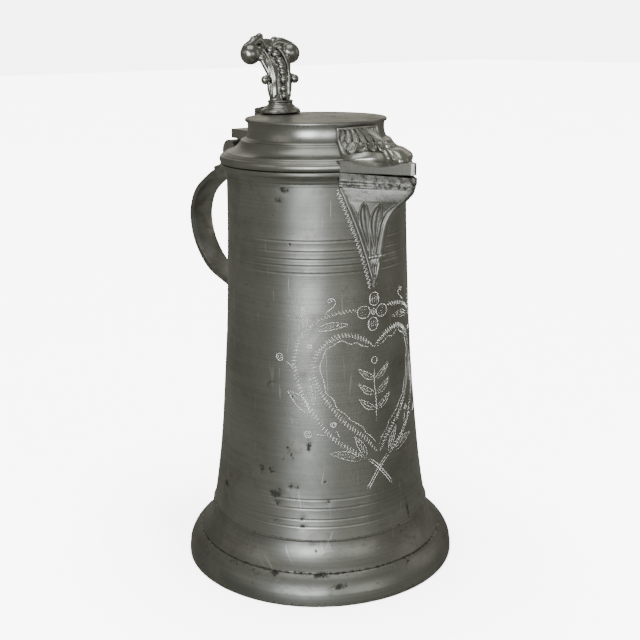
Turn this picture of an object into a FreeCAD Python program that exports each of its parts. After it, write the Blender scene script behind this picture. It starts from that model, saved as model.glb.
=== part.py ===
import FreeCAD, Part
import math
import os

# Lidded flagon in cast pewter: a tapered drum on a flared foot, a V-shaped pouring beak,
# a strap handle opposite the beak, and a hinged lid with a beak cover and a forked thumbpiece.
# Millimetres. Origin on the drum axis at the base plane, +Z up, beak towards +X, handle towards -X.

os.makedirs("parts", exist_ok=True)

V = FreeCAD.Vector
UP = V(0, 0, 1)

# ---- driving dimensions -------------------------------------------------------------------
BASE_R = 69.9          # radius of the standing ring
SHOULDER_Z = 28.5      # joint between the foot and the drum
FOLD_R, FOLD_Z = 63.9, 13.9
DRUM_FOOT_R = 55.9     # outer radius of the drum at the foot joint
DRUM_TOP_R = 44.3      # outer radius of the drum below the rim
DRUM_FLARE = 10.2      # part of the taper that follows the long curve
DRUM_WALL = 2.5
BAND_Z = 198.3         # lower edge of the rim band
RIM_Z = 205.2          # mouth of the drum
FLOOR_T = 3.0
BAND_R = 47.2          # widest radius of the rim band

BEAK_HALF_ANGLE = 23.3  # degrees either side of +X taken up by the beak at the rim
BEAK_APEX_Z = 148.5
BEAK_HALF_W = 17.3      # half width where the beak meets the drum under the rim band
BEAK_TIP_X = 72.8
BEAK_RIM_TIP_X = 74.2
BEAK_WALL = 2.2
BEAK_DROP = 1.0         # the rim falls this much from the drum to the tip

LID_Z = 205.55          # underside of the lid flange
FLANGE_R = 47.5
NECK_R = 33.6
LID_TOP_R = 34.6
LID_TOP_Z = 226.5
LID_WALL = 2.3
LID_DISC_T = 1.6
PLATE_TOP_Z = 210.6     # top of the lid's plate over the beak
SCOOP_R, SCOOP_DEPTH = 40.0, 2.2
NOSE_X, NOSE_ROLL_R = 65.6, 2.4

HINGE_X, HINGE_Z = -67.5, 204.4
KNUCKLE_R = 6.6
PIN_R = 1.9
PIN_PLAY = 0.05         # radial room of the moving knuckle on the pin
HINGE_HALF_W = 8.9
MID_KNUCKLE_HALF_W = 3.6
KNUCKLE_GAP = 0.35

STRAP_HALF_W = 6.6

THUMB_X = -31.3         # centre of the thumbpiece plinth
PLINTH_HALF_LEN, PLINTH_HALF_W = 7.6, 10.4
COLLAR_Z = 234.0
BEAD_R = 2.2


# ---- small builders -----------------------------------------------------------------------
def spline(points):
    curve = Part.BSplineCurve()
    curve.interpolate([V(*p) for p in points])
    return curve.toShape()


def line(a, b):
    return Part.makeLine(V(*a), V(*b))


def arc(a, m, b):
    return Part.Arc(V(*a), V(*m), V(*b)).toShape()


def rz(points):
    """(radius, height) pairs as points of the XZ plane."""
    return [(r, 0, z) for r, z in points]


def polyline(points):
    return [line(a, b) for a, b in zip(points[:-1], points[1:])]


def solid_of_revolution(edges):
    wire = Part.Wire(Part.__sortEdges__(edges))
    return Part.Face(wire).revolve(V(0, 0, 0), UP, 360)


def slab(edges, half_width):
    """A closed outline in the XZ plane, thickened by half_width to either side."""
    face = Part.Face(Part.Wire(Part.__sortEdges__(edges)))
    solid = face.extrude(V(0, 2 * half_width, 0))
    solid.translate(V(0, -half_width, 0))
    return solid


def polygon_slab(points, half_width):
    closed = rz(points + points[:1])
    return slab(polyline(closed), half_width)


def prism(points, z0, z1):
    """A closed outline in plan, from height z0 up to z1."""
    wire = Part.makePolygon([V(x, y, z0) for x, y in points + points[:1]])
    return Part.Face(wire).extrude(V(0, 0, z1 - z0))


def cross_cylinder(radius, x, z, y0, y1):
    return Part.makeCylinder(radius, y1 - y0, V(x, y0, z), V(0, 1, 0))


def joined(shapes):
    result = shapes[0].fuse(shapes[1:]).removeSplitter()
    return result.Solids[0] if len(result.Solids) == 1 else result


def save(name, shape):
    shape = shape.Solids[0] if len(shape.Solids) == 1 else shape
    assert len(shape.Solids) == 1 or isinstance(shape, Part.Compound), name
    assert shape.isValid(), name
    shape.exportStep("parts/%s.step" % name)
    print("%-18s solids %d  volume %.1f cm3" % (name, len(shape.Solids), shape.Volume / 1000))


# ---- drum ---------------------------------------------------------------------------------
def drum_radius(z):
    """Outer radius of the drum: a long concave taper with a quick flare at the foot."""
    t = max(0.0, (BAND_Z - z) / (BAND_Z - SHOULDER_Z))
    end_flare = DRUM_FOOT_R - DRUM_TOP_R - DRUM_FLARE
    return DRUM_TOP_R + DRUM_FLARE * t ** 1.85 + end_flare * t ** 8


def drum_side(inset):
    """Curve of the drum wall from the foot joint up to the rim band, moved in by inset."""
    steps = 8
    heights = [SHOULDER_Z + (BAND_Z - SHOULDER_Z) * k / steps for k in range(steps + 1)]
    return spline(rz([(drum_radius(z) - inset, z) for z in heights]))


def drum_body(inset):
    """Everything inside the drum wall, from the foot joint to the mouth."""
    r_low, r_high = DRUM_FOOT_R - inset, DRUM_TOP_R - inset
    edges = [drum_side(inset)] + polyline(rz([
        (r_high, BAND_Z), (r_high, RIM_Z), (0, RIM_Z), (0, SHOULDER_Z), (r_low, SHOULDER_Z)]))
    return solid_of_revolution(edges)


def turned_line(z, width=0.9, depth=0.35):
    """Ring cutter for one line turned into the drum."""
    r = drum_radius(z)
    return solid_of_revolution(polyline(rz([
        (r + 1, z + width), (r - depth, z), (r + 1, z - width), (r + 1, z + width)])))


TURNED_LINES = (34.5, 38.0, 43.5, 48.0, 158.3, 161.8, 164.8, 168.4, 173.4)

drum_solid = drum_body(0)
drum_room = drum_body(DRUM_WALL)


# ---- beak ---------------------------------------------------------------------------------
BEAK_RIDGE = ((148.5, 45.3), (158.0, 49.0), (170.0, 51.9), (181.0, 54.2),
              (186.5, 57.6), (190.0, 62.9), (194.5, 69.4), (BAND_Z, BEAK_TIP_X))


def beak_half_width(z):
    s = (z - BEAK_APEX_Z) / (BAND_Z - BEAK_APEX_Z)
    return 0.5 + (BEAK_HALF_W - 0.5) * s ** 1.2


def beak_section(z, ridge_x, inset):
    """Horizontal V section: two flanks and a blunt ridge, closed inside the drum."""
    w = max(beak_half_width(z) - inset, 0.3)
    x_edge = math.sqrt(drum_radius(z) ** 2 - w ** 2) - 0.2
    blunt = min(1.6, 0.45 * w)
    tip = ridge_x - inset
    back = x_edge - 12
    return Part.Wire([
        line((back, w, z), (x_edge, w, z)),
        line((x_edge, w, z), (tip - blunt, blunt, z)),
        arc((tip - blunt, blunt, z), (tip, 0, z), (tip - blunt, -blunt, z)),
        line((tip - blunt, -blunt, z), (x_edge, -w, z)),
        line((x_edge, -w, z), (back, -w, z)),
        line((back, -w, z), (back, w, z))])


def beak_loft(inset, skip):
    wires = [beak_section(z, x, inset) for z, x in BEAK_RIDGE[skip:]]
    return Part.makeLoft(wires, True, True)


def polar(radius, degrees):
    a = math.radians(degrees)
    return radius * math.cos(a), radius * math.sin(a)


def beak_plan(grow, tip_x, reach_in):
    """Plan of the beak at the rim: radial sides inside, straight flanks to a blunt tip."""
    side = polar(BAND_R + grow, BEAK_HALF_ANGLE)
    inner = polar(reach_in, BEAK_HALF_ANGLE)
    half = [inner, side, (tip_x - 1.3, 1.6), (tip_x, 0.7)]
    return half + [(x, -y) for x, y in reversed(half)]


def beak_band():
    """Rim band carried round the beak, widening upwards."""
    low = beak_plan(-2.4, BEAK_TIP_X, 35)
    high = beak_plan(0, BEAK_RIM_TIP_X, 35)
    wires = [Part.makePolygon([V(x, y, z) for x, y in plan + plan[:1]])
             for plan, z in ((low, BAND_Z), (high, BAND_Z + 4.2), (high, RIM_Z))]
    return Part.makeLoft(wires, True, True)


def beak_room():
    """Pouring channel inside the beak, open to the drum and at the rim."""
    inner = [(30, 14.8), (45.5, 14.8), (BEAK_RIM_TIP_X - 5.5, 1.0)]
    plan = inner + [(x, -y) for x, y in reversed(inner)]
    return joined([beak_loft(BEAK_WALL, 2), prism(plan, BAND_Z - 0.5, RIM_Z + 2)])


def rim_slope_cut():
    """Wedge above the beak rim, so the seam under the lid opens towards the tip."""
    far = BEAK_RIM_TIP_X + 5
    drop = BEAK_DROP * (far - DRUM_TOP_R) / (BEAK_RIM_TIP_X - DRUM_TOP_R)
    return polygon_slab([(DRUM_TOP_R, RIM_Z), (far, RIM_Z - drop), (far, RIM_Z + 5),
                         (DRUM_TOP_R, RIM_Z + 5)], 40)


def make_beak():
    outer = joined([beak_loft(0, 0), beak_band()])
    return outer.cut(beak_room()).cut(drum_solid).cut(rim_slope_cut())


def make_drum():
    wall = drum_solid.cut(drum_room).cut(beak_room())
    for z in TURNED_LINES:
        wall = wall.cut(turned_line(z))
    return wall


def make_rim_band():
    """Band round the mouth, left open where the beak carries it on."""
    ring = solid_of_revolution(
        [arc((44.7, 0, BAND_Z), (45.3, 0, 201.6), (BAND_R, 0, 203.6))]
        + polyline(rz([(BAND_R, 203.6), (BAND_R, RIM_Z), (DRUM_TOP_R, RIM_Z),
                       (DRUM_TOP_R, BAND_Z), (44.7, BAND_Z)])))
    a, b = polar(80, BEAK_HALF_ANGLE)
    return ring.cut(prism([(0, 0), (a, -b), (a, b)], BAND_Z - 5, RIM_Z + 5))


# ---- foot and floor -----------------------------------------------------------------------
def make_foot():
    outer = [line((BASE_R, 0, 0), (69.5, 0, 5.6)),
             arc((69.5, 0, 5.6), (67.6, 0, 9.9), (FOLD_R, 0, FOLD_Z)),
             line((FOLD_R, 0, FOLD_Z), (63.0, 0, 14.6)),
             arc((63.0, 0, 14.6), (58.8, 0, 20.4), (DRUM_FOOT_R + 0.4, 0, SHOULDER_Z))]
    top = polyline(rz([(DRUM_FOOT_R + 0.4, SHOULDER_Z), (50.5, SHOULDER_Z), (50.5, 25.6),
                       (53.4, 25.6)]))
    inner = [arc((53.4, 0, 25.6), (56.4, 0, 18.4), (60.8, 0, 12.6)),
             arc((60.8, 0, 12.6), (64.3, 0, 8.8), (66.2, 0, 4.0)),
             line((66.2, 0, 4.0), (66.2, 0, 0)), line((66.2, 0, 0), (BASE_R, 0, 0))]
    return solid_of_revolution(outer + top + inner)


def make_floor():
    disc = Part.makeCylinder(DRUM_FOOT_R, FLOOR_T, V(0, 0, SHOULDER_Z))
    return disc.common(drum_room).cut(Part.makeCylinder(9.0, 10, V(0, 0, SHOULDER_Z - 1)))


def make_floor_plug():
    """Round plug that closes the casting hole, domed inside the vessel."""
    z0, z1 = SHOULDER_Z, SHOULDER_Z + FLOOR_T
    crown = z1 + 1.2
    edges = polyline(rz([(3.0, crown), (0, crown), (0, z0), (9.0, z0), (9.0, z1)]))
    edges.append(arc((9.0, 0, z1), (6.2, 0, z1 + 0.9), (3.0, 0, crown)))
    return solid_of_revolution(edges)


# ---- handle and fixed half of the hinge ---------------------------------------------------
STRAP_OUTER = ((-40, 194.6), (-60, 196.3), (-77.4, 196.0), (-87.9, 193.0), (-96.3, 188.9),
               (-109.6, 180.2), (-116.3, 169.1), (-116.9, 158.8), (-112.2, 147.0),
               (-99.1, 135.2), (-80, 129.3), (-60, 124.2), (-44, 117.5))
STRAP_INNER = ((-44, 123.5), (-60, 128.4), (-80, 132.9), (-97.4, 138.6),
               (-108.9, 148.8), (-113.4, 159.4), (-112.8, 168.2), (-107.2, 177.6),
               (-95.0, 185.6), (-86.4, 189.4), (-77.0, 191.6), (-60, 190.6), (-40, 186.5))


def make_strap():
    edges = [spline(rz(STRAP_OUTER)), spline(rz(STRAP_INNER)),
             line((-44, 0, 117.5), (-44, 0, 123.5)), line((-40, 0, 186.5), (-40, 0, 194.6))]
    strap = slab(edges, STRAP_HALF_W)
    return strap.cut(drum_solid).Solids[0]


def knuckle(y0, y1, bore_r):
    barrel = cross_cylinder(KNUCKLE_R, HINGE_X, HINGE_Z, y0, y1)
    return barrel.cut(cross_cylinder(bore_r, HINGE_X, HINGE_Z, y0 - 1, y1 + 1))


def make_hinge_bracket(strap):
    """Cast plate on the strap with the two outer knuckles standing on it."""
    plate = polygon_slab([(-50, 193), (-50, 198.2), (-76, 198.2), (-87.9, 194.6), (-87.9, 190)],
                         STRAP_HALF_W)
    front, back = HINGE_X + KNUCKLE_R, HINGE_X - KNUCKLE_R
    tower = polygon_slab([(front, 195.5), (front, HINGE_Z), (back, HINGE_Z), (back, 195.5)],
                         HINGE_HALF_W)
    barrel = cross_cylinder(KNUCKLE_R, HINGE_X, HINGE_Z, -HINGE_HALF_W, HINGE_HALF_W)
    slot_w = MID_KNUCKLE_HALF_W + KNUCKLE_GAP
    slot = cross_cylinder(KNUCKLE_R + 0.5, HINGE_X, HINGE_Z, -slot_w, slot_w)
    rise = polygon_slab([(front + 20, HINGE_Z - 1), (front + 20, 215), (back - 20, 215),
                         (back - 20, HINGE_Z - 1)], slot_w)
    bore = cross_cylinder(PIN_R, HINGE_X, HINGE_Z, -20, 20)
    body = joined([plate, tower, barrel]).cut(slot).cut(rise).cut(bore)
    body = body.cut(strap).cut(drum_solid)
    return max(body.Solids, key=lambda s: s.Volume)


def make_pin():
    end = HINGE_HALF_W
    pin = cross_cylinder(PIN_R, HINGE_X, HINGE_Z, -end, end)
    heads = [Part.makeSphere(PIN_R + 0.9, V(HINGE_X, s * (end - 1.2), HINGE_Z)) for s in (-1, 1)]
    outside = [h.cut(cross_cylinder(20, HINGE_X, HINGE_Z, -end, end)) for h in heads]
    return joined([pin] + outside)


# ---- lid ----------------------------------------------------------------------------------
def make_lid_shell():
    top = LID_TOP_Z - LID_DISC_T
    outer = [arc((46.6, 0, LID_Z), (FLANGE_R, 0, 207.4), (46.9, 0, 209.2)),
             line((46.9, 0, 209.2), (44.2, 0, 210.8)),
             arc((44.2, 0, 210.8), (39.6, 0, 212.8), (36.9, 0, 216.2)),
             line((36.9, 0, 216.2), (34.3, 0, 217.4)),
             arc((34.3, 0, 217.4), (33.3, 0, 221.2), (NECK_R, 0, top))]
    inner = [line((NECK_R, 0, top), (NECK_R - LID_WALL, 0, top)),
             line((NECK_R - LID_WALL, 0, top), (NECK_R - LID_WALL, 0, 217.0)),
             arc((NECK_R - LID_WALL, 0, 217.0), (35.8, 0, 211.6), (42.4, 0, 208.6)),
             line((42.4, 0, 208.6), (42.4, 0, LID_Z)),
             line((42.4, 0, LID_Z), (46.6, 0, LID_Z))]
    return solid_of_revolution(outer + inner)


def make_lid_disc():
    z0 = LID_TOP_Z - LID_DISC_T
    return solid_of_revolution(
        polyline(rz([(0, z0), (LID_TOP_R - 0.5, z0), (LID_TOP_R, z0 + 0.5),
                     (LID_TOP_R, LID_TOP_Z - 0.4), (LID_TOP_R - 0.4, LID_TOP_Z),
                     (0, LID_TOP_Z), (0, z0)])))


def beak_cover_plan(grow):
    side = polar(FLANGE_R + grow, BEAK_HALF_ANGLE)
    half = [(30, side[1]), side, (BEAK_RIM_TIP_X - 1.6 + grow, 1.6), (BEAK_RIM_TIP_X - 0.4 + grow, 0.6)]
    return half + [(x, -y) for x, y in reversed(half)]


def lid_body():
    """Lid shell with its inside filled, used to trim what is fixed on it."""
    fill = solid_of_revolution(polyline(rz([
        (0, LID_Z), (43.0, LID_Z), (43.0, 208.8), (36.0, 212.2), (32.0, 217.4),
        (32.0, LID_TOP_Z - LID_DISC_T), (0, LID_TOP_Z - LID_DISC_T), (0, LID_Z)])))
    return joined([fill, lid_shell])


def flank_scoop(side):
    """Tilted round cutter that hollows the plate's top edge along one flank."""
    corner, tip = V(*polar(FLANGE_R, BEAK_HALF_ANGLE), 0), V(BEAK_RIM_TIP_X - 1.6, 1.6, 0)
    flank = (tip - corner).normalize()
    outward = UP.cross(flank) * -1
    if outward.y < 0:
        outward = outward * -1
    middle = (corner + tip) * 0.5
    tilt = math.radians(20)
    inward_up = outward * -math.cos(tilt) + UP * math.sin(tilt)
    axis_z = PLATE_TOP_Z - SCOOP_DEPTH + SCOOP_R / math.cos(tilt)
    base = middle + UP * axis_z - inward_up * 32
    base.y *= side
    inward_up.y *= side
    return Part.makeCylinder(SCOOP_R, 52, base, inward_up)


def make_beak_plate():
    """Flat part of the lid over the beak: a scooped edge band with a thin roof."""
    band = prism(beak_cover_plan(0), LID_Z, PLATE_TOP_Z)
    recess = [(30, 14.6), (45.5, 14.6), (BEAK_RIM_TIP_X - 6.5, 0.9)]
    recess = recess + [(x, -y) for x, y in reversed(recess)]
    band = band.cut(prism(recess, LID_Z - 1, 208.4))
    return band.cut(flank_scoop(1)).cut(flank_scoop(-1)).cut(lid_solid)


def cover_section(x, half_w, height):
    """Upright section of the leaf cover: short sides and a low arch, its foot let into the plate."""
    foot, side = PLATE_TOP_Z - 1.8, PLATE_TOP_Z + 0.35 * height
    return Part.Wire([
        line((x, -half_w, foot), (x, half_w, foot)),
        line((x, half_w, foot), (x, half_w, side)),
        arc((x, half_w, side), (x, 0, PLATE_TOP_Z + height), (x, -half_w, side)),
        line((x, -half_w, side), (x, -half_w, foot))])


# distance from the axis, half width, height on the plate
COVER_STATIONS = ((30.0, 13.0, 13.0), (38.0, 13.4, 11.4), (46.0, 12.0, 9.2),
                  (54.0, 8.2, 7.2), (60.0, 5.0, 6.2), (64.5, 3.6, 5.4), (67.0, 2.6, 3.4))


def make_beak_leaf_cover(plate):
    """Leaf cover falling from the lid neck to a rolled nose on the beak plate."""
    cover = Part.makeLoft([cover_section(*s) for s in COVER_STATIONS], True, False)
    roll = cross_cylinder(NOSE_ROLL_R, NOSE_X, PLATE_TOP_Z + NOSE_ROLL_R + 0.3, -3.2, 3.2)
    body = joined([cover, roll]).cut(plate)
    return max(body.cut(lid_solid).cut(lid_disc).Solids, key=lambda s: s.Volume)


# ---- moving half of the hinge -------------------------------------------------------------
def make_lid_arm():
    """Stepped arm behind the lid: wide block, narrow web, centre knuckle and thumb buttress."""
    block = polygon_slab([(-30, 212.2), (-30, 217), (-65.2, 217), (-65.2, 212.2)], 8.4)
    web = polygon_slab([(-40, 215), (-65.2, 215), (-73.2, 208.0), (-70, HINGE_Z), (-61.4, 202.6),
                        (-57.5, 206.4), (-40, 206.4)], MID_KNUCKLE_HALF_W)
    barrel = cross_cylinder(KNUCKLE_R, HINGE_X, HINGE_Z, -MID_KNUCKLE_HALF_W, MID_KNUCKLE_HALF_W)
    web = web.common(joined([barrel, polygon_slab([(-30, 200), (-30, 220), (HINGE_X, 220),
                                                   (HINGE_X, 200)], 20)]))
    buttress = polygon_slab([(-30, 214), (-30, LID_TOP_Z), (-45.4, LID_TOP_Z), (-47.5, 217),
                             (-47.5, 214)], 6.2)
    bore = cross_cylinder(PIN_R + PIN_PLAY, HINGE_X, HINGE_Z, -20, 20)
    body = joined([block, web, barrel, buttress]).cut(bore)
    body = body.cut(lid_solid).cut(lid_disc)
    return max(body.Solids, key=lambda s: s.Volume)


# ---- thumbpiece ---------------------------------------------------------------------------
def ellipse_wire(x, z, half_len, half_w):
    curve = Part.Ellipse(V(0, 0, 0), max(half_w, half_len), min(half_w, half_len)).toShape()
    if half_w > half_len:
        curve.rotate(V(0, 0, 0), UP, 90)
    curve.translate(V(x, 0, z))
    return Part.Wire([curve])


def make_plinth():
    """Oval stepped dome with a sloping tail towards the hinge."""
    levels = ((LID_TOP_Z, 1.0), (LID_TOP_Z + 1.4, 1.0), (LID_TOP_Z + 2.6, 0.86),
              (LID_TOP_Z + 4.0, 0.66), (LID_TOP_Z + 5.2, 0.56))
    dome = Part.makeLoft([ellipse_wire(THUMB_X, z, PLINTH_HALF_LEN * k, PLINTH_HALF_W * k)
                          for z, k in levels], True, True)
    collar = Part.makeLoft([ellipse_wire(THUMB_X, z, r, r * 1.05) for z, r in
                            ((LID_TOP_Z + 5.2, 5.0), (COLLAR_Z - 1.4, 5.6), (COLLAR_Z, 4.6))],
                           True, True)
    tail = polygon_slab([(-34, LID_TOP_Z), (-45.4, LID_TOP_Z), (-45.4, LID_TOP_Z + 2.0),
                         (-34, LID_TOP_Z + 4.4)], 5.6)
    return joined([dome, collar, tail])


STEM = ((COLLAR_Z, -31.2, 3.6, 4.8), (239.0, -31.4, 3.0, 5.4), (245.0, -32.0, 2.9, 6.0),
        (250.5, -34.6, 3.2, 6.6), (255.0, -38.6, 4.0, 6.6), (258.0, -41.0, 3.2, 5.2))
BEADS = ((235.8, -28.0), (239.4, -28.4), (243.0, -28.9), (246.6, -29.7), (250.0, -31.3),
         (253.2, -33.6), (256.0, -36.8), (258.2, -40.4))


def volute_arm(side):
    """One branch of the fork: it arches up and out, then rolls down into a ball."""
    start, crest, end = V(-38.2, side * 1.5, 256.4), V(-40.0, side * 6.6, 262.2), V(-39.0, side * 12.0, 257.6)
    path = Part.Wire([Part.Arc(start, crest, end).toShape()])
    section = Part.Wire([Part.makeCircle(3.4, start, Part.Arc(start, crest, end).tangent(0)[0])])
    arm = path.makePipeShell([section], True, False)
    ball = Part.makeSphere(5.6, V(-38.8, side * 12.0, 255.9))
    return [arm, ball]


def side_scroll(side):
    """Small scroll half way up the stem."""
    roll = Part.makeCylinder(2.5, 4.0, V(-33.4, side * 9.4, 243.4), V(1, 0, 0))
    root = polygon_slab([(-33.0, 238.4), (-33.0, 246.0), (-30.2, 246.0), (-30.2, 238.4)], 9.0)
    keep = prism([(-40, 0), (-20, 0), (-20, side * 12), (-40, side * 12)], 238, 244.4)
    return [roll, root.common(keep)]


def make_thumbpiece():
    stem = Part.makeLoft([ellipse_wire(x, z, a, b) for z, x, a, b in STEM], True, False)
    beads = [Part.makeSphere(BEAD_R * (0.8 if k == 0 else 1), V(x, 0, z))
             for k, (z, x) in enumerate(BEADS)]
    parts = [stem] + beads
    for side in (-1, 1):
        parts += volute_arm(side) + side_scroll(side)
    return joined(parts)


# ---- write every piece --------------------------------------------------------------------
save("foot_skirt", make_foot())
save("floor_disc", make_floor())
save("floor_plug", make_floor_plug())
save("drum", make_drum())
save("rim_band", make_rim_band())
save("pouring_beak", make_beak())
strap = make_strap()
save("handle_strap", strap)
save("hinge_bracket", make_hinge_bracket(strap))
save("hinge_pin", make_pin())
lid_shell = make_lid_shell()
lid_disc = make_lid_disc()
lid_solid = lid_body()
save("lid_shell", lid_shell)
save("lid_disc", lid_disc)
beak_plate = make_beak_plate()
save("beak_plate", beak_plate)
save("beak_leaf_cover", make_beak_leaf_cover(beak_plate))
save("lid_arm", make_lid_arm())
save("thumb_plinth", make_plinth())
save("thumbpiece", make_thumbpiece())
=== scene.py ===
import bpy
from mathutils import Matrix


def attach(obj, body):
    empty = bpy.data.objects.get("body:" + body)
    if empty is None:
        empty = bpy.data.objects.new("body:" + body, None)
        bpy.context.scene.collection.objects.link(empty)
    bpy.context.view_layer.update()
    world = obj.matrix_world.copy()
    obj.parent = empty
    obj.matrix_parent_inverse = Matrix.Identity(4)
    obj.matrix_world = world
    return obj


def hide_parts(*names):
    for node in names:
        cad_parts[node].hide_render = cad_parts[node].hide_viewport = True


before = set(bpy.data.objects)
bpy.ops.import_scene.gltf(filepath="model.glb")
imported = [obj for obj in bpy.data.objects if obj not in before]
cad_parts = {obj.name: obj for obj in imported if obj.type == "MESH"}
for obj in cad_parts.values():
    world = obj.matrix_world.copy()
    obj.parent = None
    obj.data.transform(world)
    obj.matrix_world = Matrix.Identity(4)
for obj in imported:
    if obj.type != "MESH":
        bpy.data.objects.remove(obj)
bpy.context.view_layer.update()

import math

import bmesh
import bpy
import numpy as np
from mathutils import Matrix, Vector, noise

# Pewter tankard with a pouring beak. Shapes are worked out in millimetres in the part's frame
# (origin on the drum axis in the standing plane, +Z up, beak towards +X) and stored in metres.
# Places round the drum are angles in degrees from +X, counter-clockwise seen from above.

MM = 0.001


# ---- shape helpers ------------------------------------------------------------------------
def arc3(a, m, b, count):
    """Points on the circle arc from a through m to b, both ends included."""
    (ax, ay), (mx, my), (bx, by) = a, m, b
    d = 2 * (ax * (my - by) + mx * (by - ay) + bx * (ay - my))
    ux = ((ax**2 + ay**2) * (my - by) + (mx**2 + my**2) * (by - ay) + (bx**2 + by**2) * (ay - my)) / d
    uy = ((ax**2 + ay**2) * (bx - mx) + (mx**2 + my**2) * (ax - bx) + (bx**2 + by**2) * (mx - ax)) / d
    r = math.hypot(ax - ux, ay - uy)
    t0, tm, t1 = (math.atan2(y - uy, x - ux) for x, y in (a, m, b))
    while tm < t0:
        tm += 2 * math.pi
    while t1 < t0:
        t1 += 2 * math.pi
    if tm > t1:
        t1 -= 2 * math.pi
    return [(ux + r * math.cos(t), uy + r * math.sin(t)) for t in np.linspace(t0, t1, count)]


def smooth_path(points, count):
    """Evenly spaced points on a Catmull-Rom curve through the given points."""
    p = np.array(points, float)
    p = np.vstack([2 * p[0] - p[1], p, 2 * p[-1] - p[-2]])
    dense = []
    for k in range(1, len(p) - 2):
        for t in np.linspace(0, 1, 24, endpoint=False):
            a, b, c, d = p[k - 1], p[k], p[k + 1], p[k + 2]
            dense.append(0.5 * (2 * b + (c - a) * t + (2 * a - 5 * b + 4 * c - d) * t**2
                                + (3 * b - a - 3 * c + d) * t**3))
    dense = np.array(dense + [p[-2]])
    run = np.concatenate([[0], np.cumsum(np.linalg.norm(np.diff(dense, axis=0), axis=1))])
    at = np.linspace(0, run[-1], count)
    return np.stack([np.interp(at, run, dense[:, k]) for k in range(dense.shape[1])], 1)


def ramp(x, low, high):
    """0 below low, 1 above high, smooth between."""
    t = np.clip((x - low) / (high - low), 0, 1)
    return t * t * (3 - 2 * t)


def bump(x, centre, half):
    """Rounded rise of height 1 at centre, 0 beyond half either side."""
    return np.clip(1 - ((x - centre) / half)**2, 0, 1)**1.5


def bell(x, at, width):
    """Soft line of height 1 at the given place."""
    return np.exp(-((x - at) / width)**2)


def around(r, t, z):
    """Points at radius r, angle t in radians and height z round the drum axis."""
    return np.stack([r * np.cos(t), r * np.sin(t), np.broadcast_to(z, np.shape(t))], 1)


def ripple(x, y, z, size):
    """Smooth noise from about -1 to 1 with features of the given size in mm."""
    return noise.noise(Vector((x / size, y / size, z / size)))


def mesh_object(name, points, faces, material, sharp=None, marks=None):
    """A smooth-shaded object from points in mm; marks are per-point values for the shader."""
    mesh = bpy.data.meshes.new(name)
    mesh.from_pydata((np.asarray(points, float) * MM).tolist(), [], faces)
    for key, values in (marks or {}).items():
        layer = mesh.attributes.new(key, "FLOAT", "POINT")
        layer.data.foreach_set("value", np.ravel(values).astype(np.float32))
    bm = bmesh.new()
    bm.from_mesh(mesh)
    bmesh.ops.remove_doubles(bm, verts=bm.verts, dist=2e-6)
    bmesh.ops.dissolve_degenerate(bm, dist=1e-7, edges=bm.edges)
    bmesh.ops.recalc_face_normals(bm, faces=bm.faces)
    bm.to_mesh(mesh)
    bm.free()
    mesh.polygons.foreach_set("use_smooth", [True] * len(mesh.polygons))
    if sharp:
        mesh.set_sharp_from_angle(angle=math.radians(sharp))
    obj = bpy.data.objects.new(name, mesh)
    bpy.context.scene.collection.objects.link(obj)
    mesh.materials.append(material)
    return obj


def wall(name, outer, inner, material, sharp=None, marks=None, open_from=0):
    """A closed wall between an outer and an inner grid of points, with marks on the outer one.
    Its two side edges are closed from row open_from up; below it they meet each other."""
    outer, inner = np.array(outer), np.array(inner)
    rows, cols = outer.shape[:2]
    faces, back = [], rows * cols
    for i in range(rows - 1):
        for a in range(i * cols, (i + 1) * cols - 1):
            faces.append((a, a + 1, a + 1 + cols, a + cols))
            faces.append((back + a, back + a + cols, back + a + 1 + cols, back + a + 1))
    top = back - cols
    for a in range(cols - 1):
        faces.append((back + a, back + a + 1, a + 1, a))
        faces.append((top + a, top + a + 1, back + top + a + 1, back + top + a))
    for i in range(open_from, rows - 1):
        a, b = i * cols, (i + 1) * cols - 1
        faces.append((a, a + cols, back + a + cols, back + a))
        faces.append((b + cols, b, back + b, back + b + cols))
    points = np.concatenate([outer.reshape(-1, 3), inner.reshape(-1, 3)])
    marks = {key: [values, np.zeros_like(values)] for key, values in (marks or {}).items()}
    return mesh_object(name, points, faces, material, sharp, marks)


def tube_faces(sections, count, closed=False):
    """Faces along like sections of count points each, with end caps unless the tube is closed."""
    faces = []
    for k in range(sections if closed else sections - 1):
        a, b = k * count, (k + 1) % sections * count
        faces += [(a + j, b + j, b + (j + 1) % count, a + (j + 1) % count) for j in range(count)]
    if not closed:
        last = (sections - 1) * count
        faces += [tuple(range(count)), tuple(reversed(range(last, last + count)))]
    return faces


def turned(name, profile, steps, material, sharp=32, sway=0.0, start=0.0, end=360.0):
    """A closed (radius, height) outline turned about the drum axis, with a slight hand-made sway."""
    full = end - start >= 360
    points = []
    for t in np.radians(np.linspace(start, end, steps, endpoint=not full)):
        c, s = math.cos(t), math.sin(t)
        for r, z in profile:
            d = sway * ripple(60 * c, 60 * s, z, 38) if r > 1 else 0
            points.append(((r + d) * c, (r + d) * s, z))
    return mesh_object(name, points, tube_faces(steps, len(profile), full), material, sharp)


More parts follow.
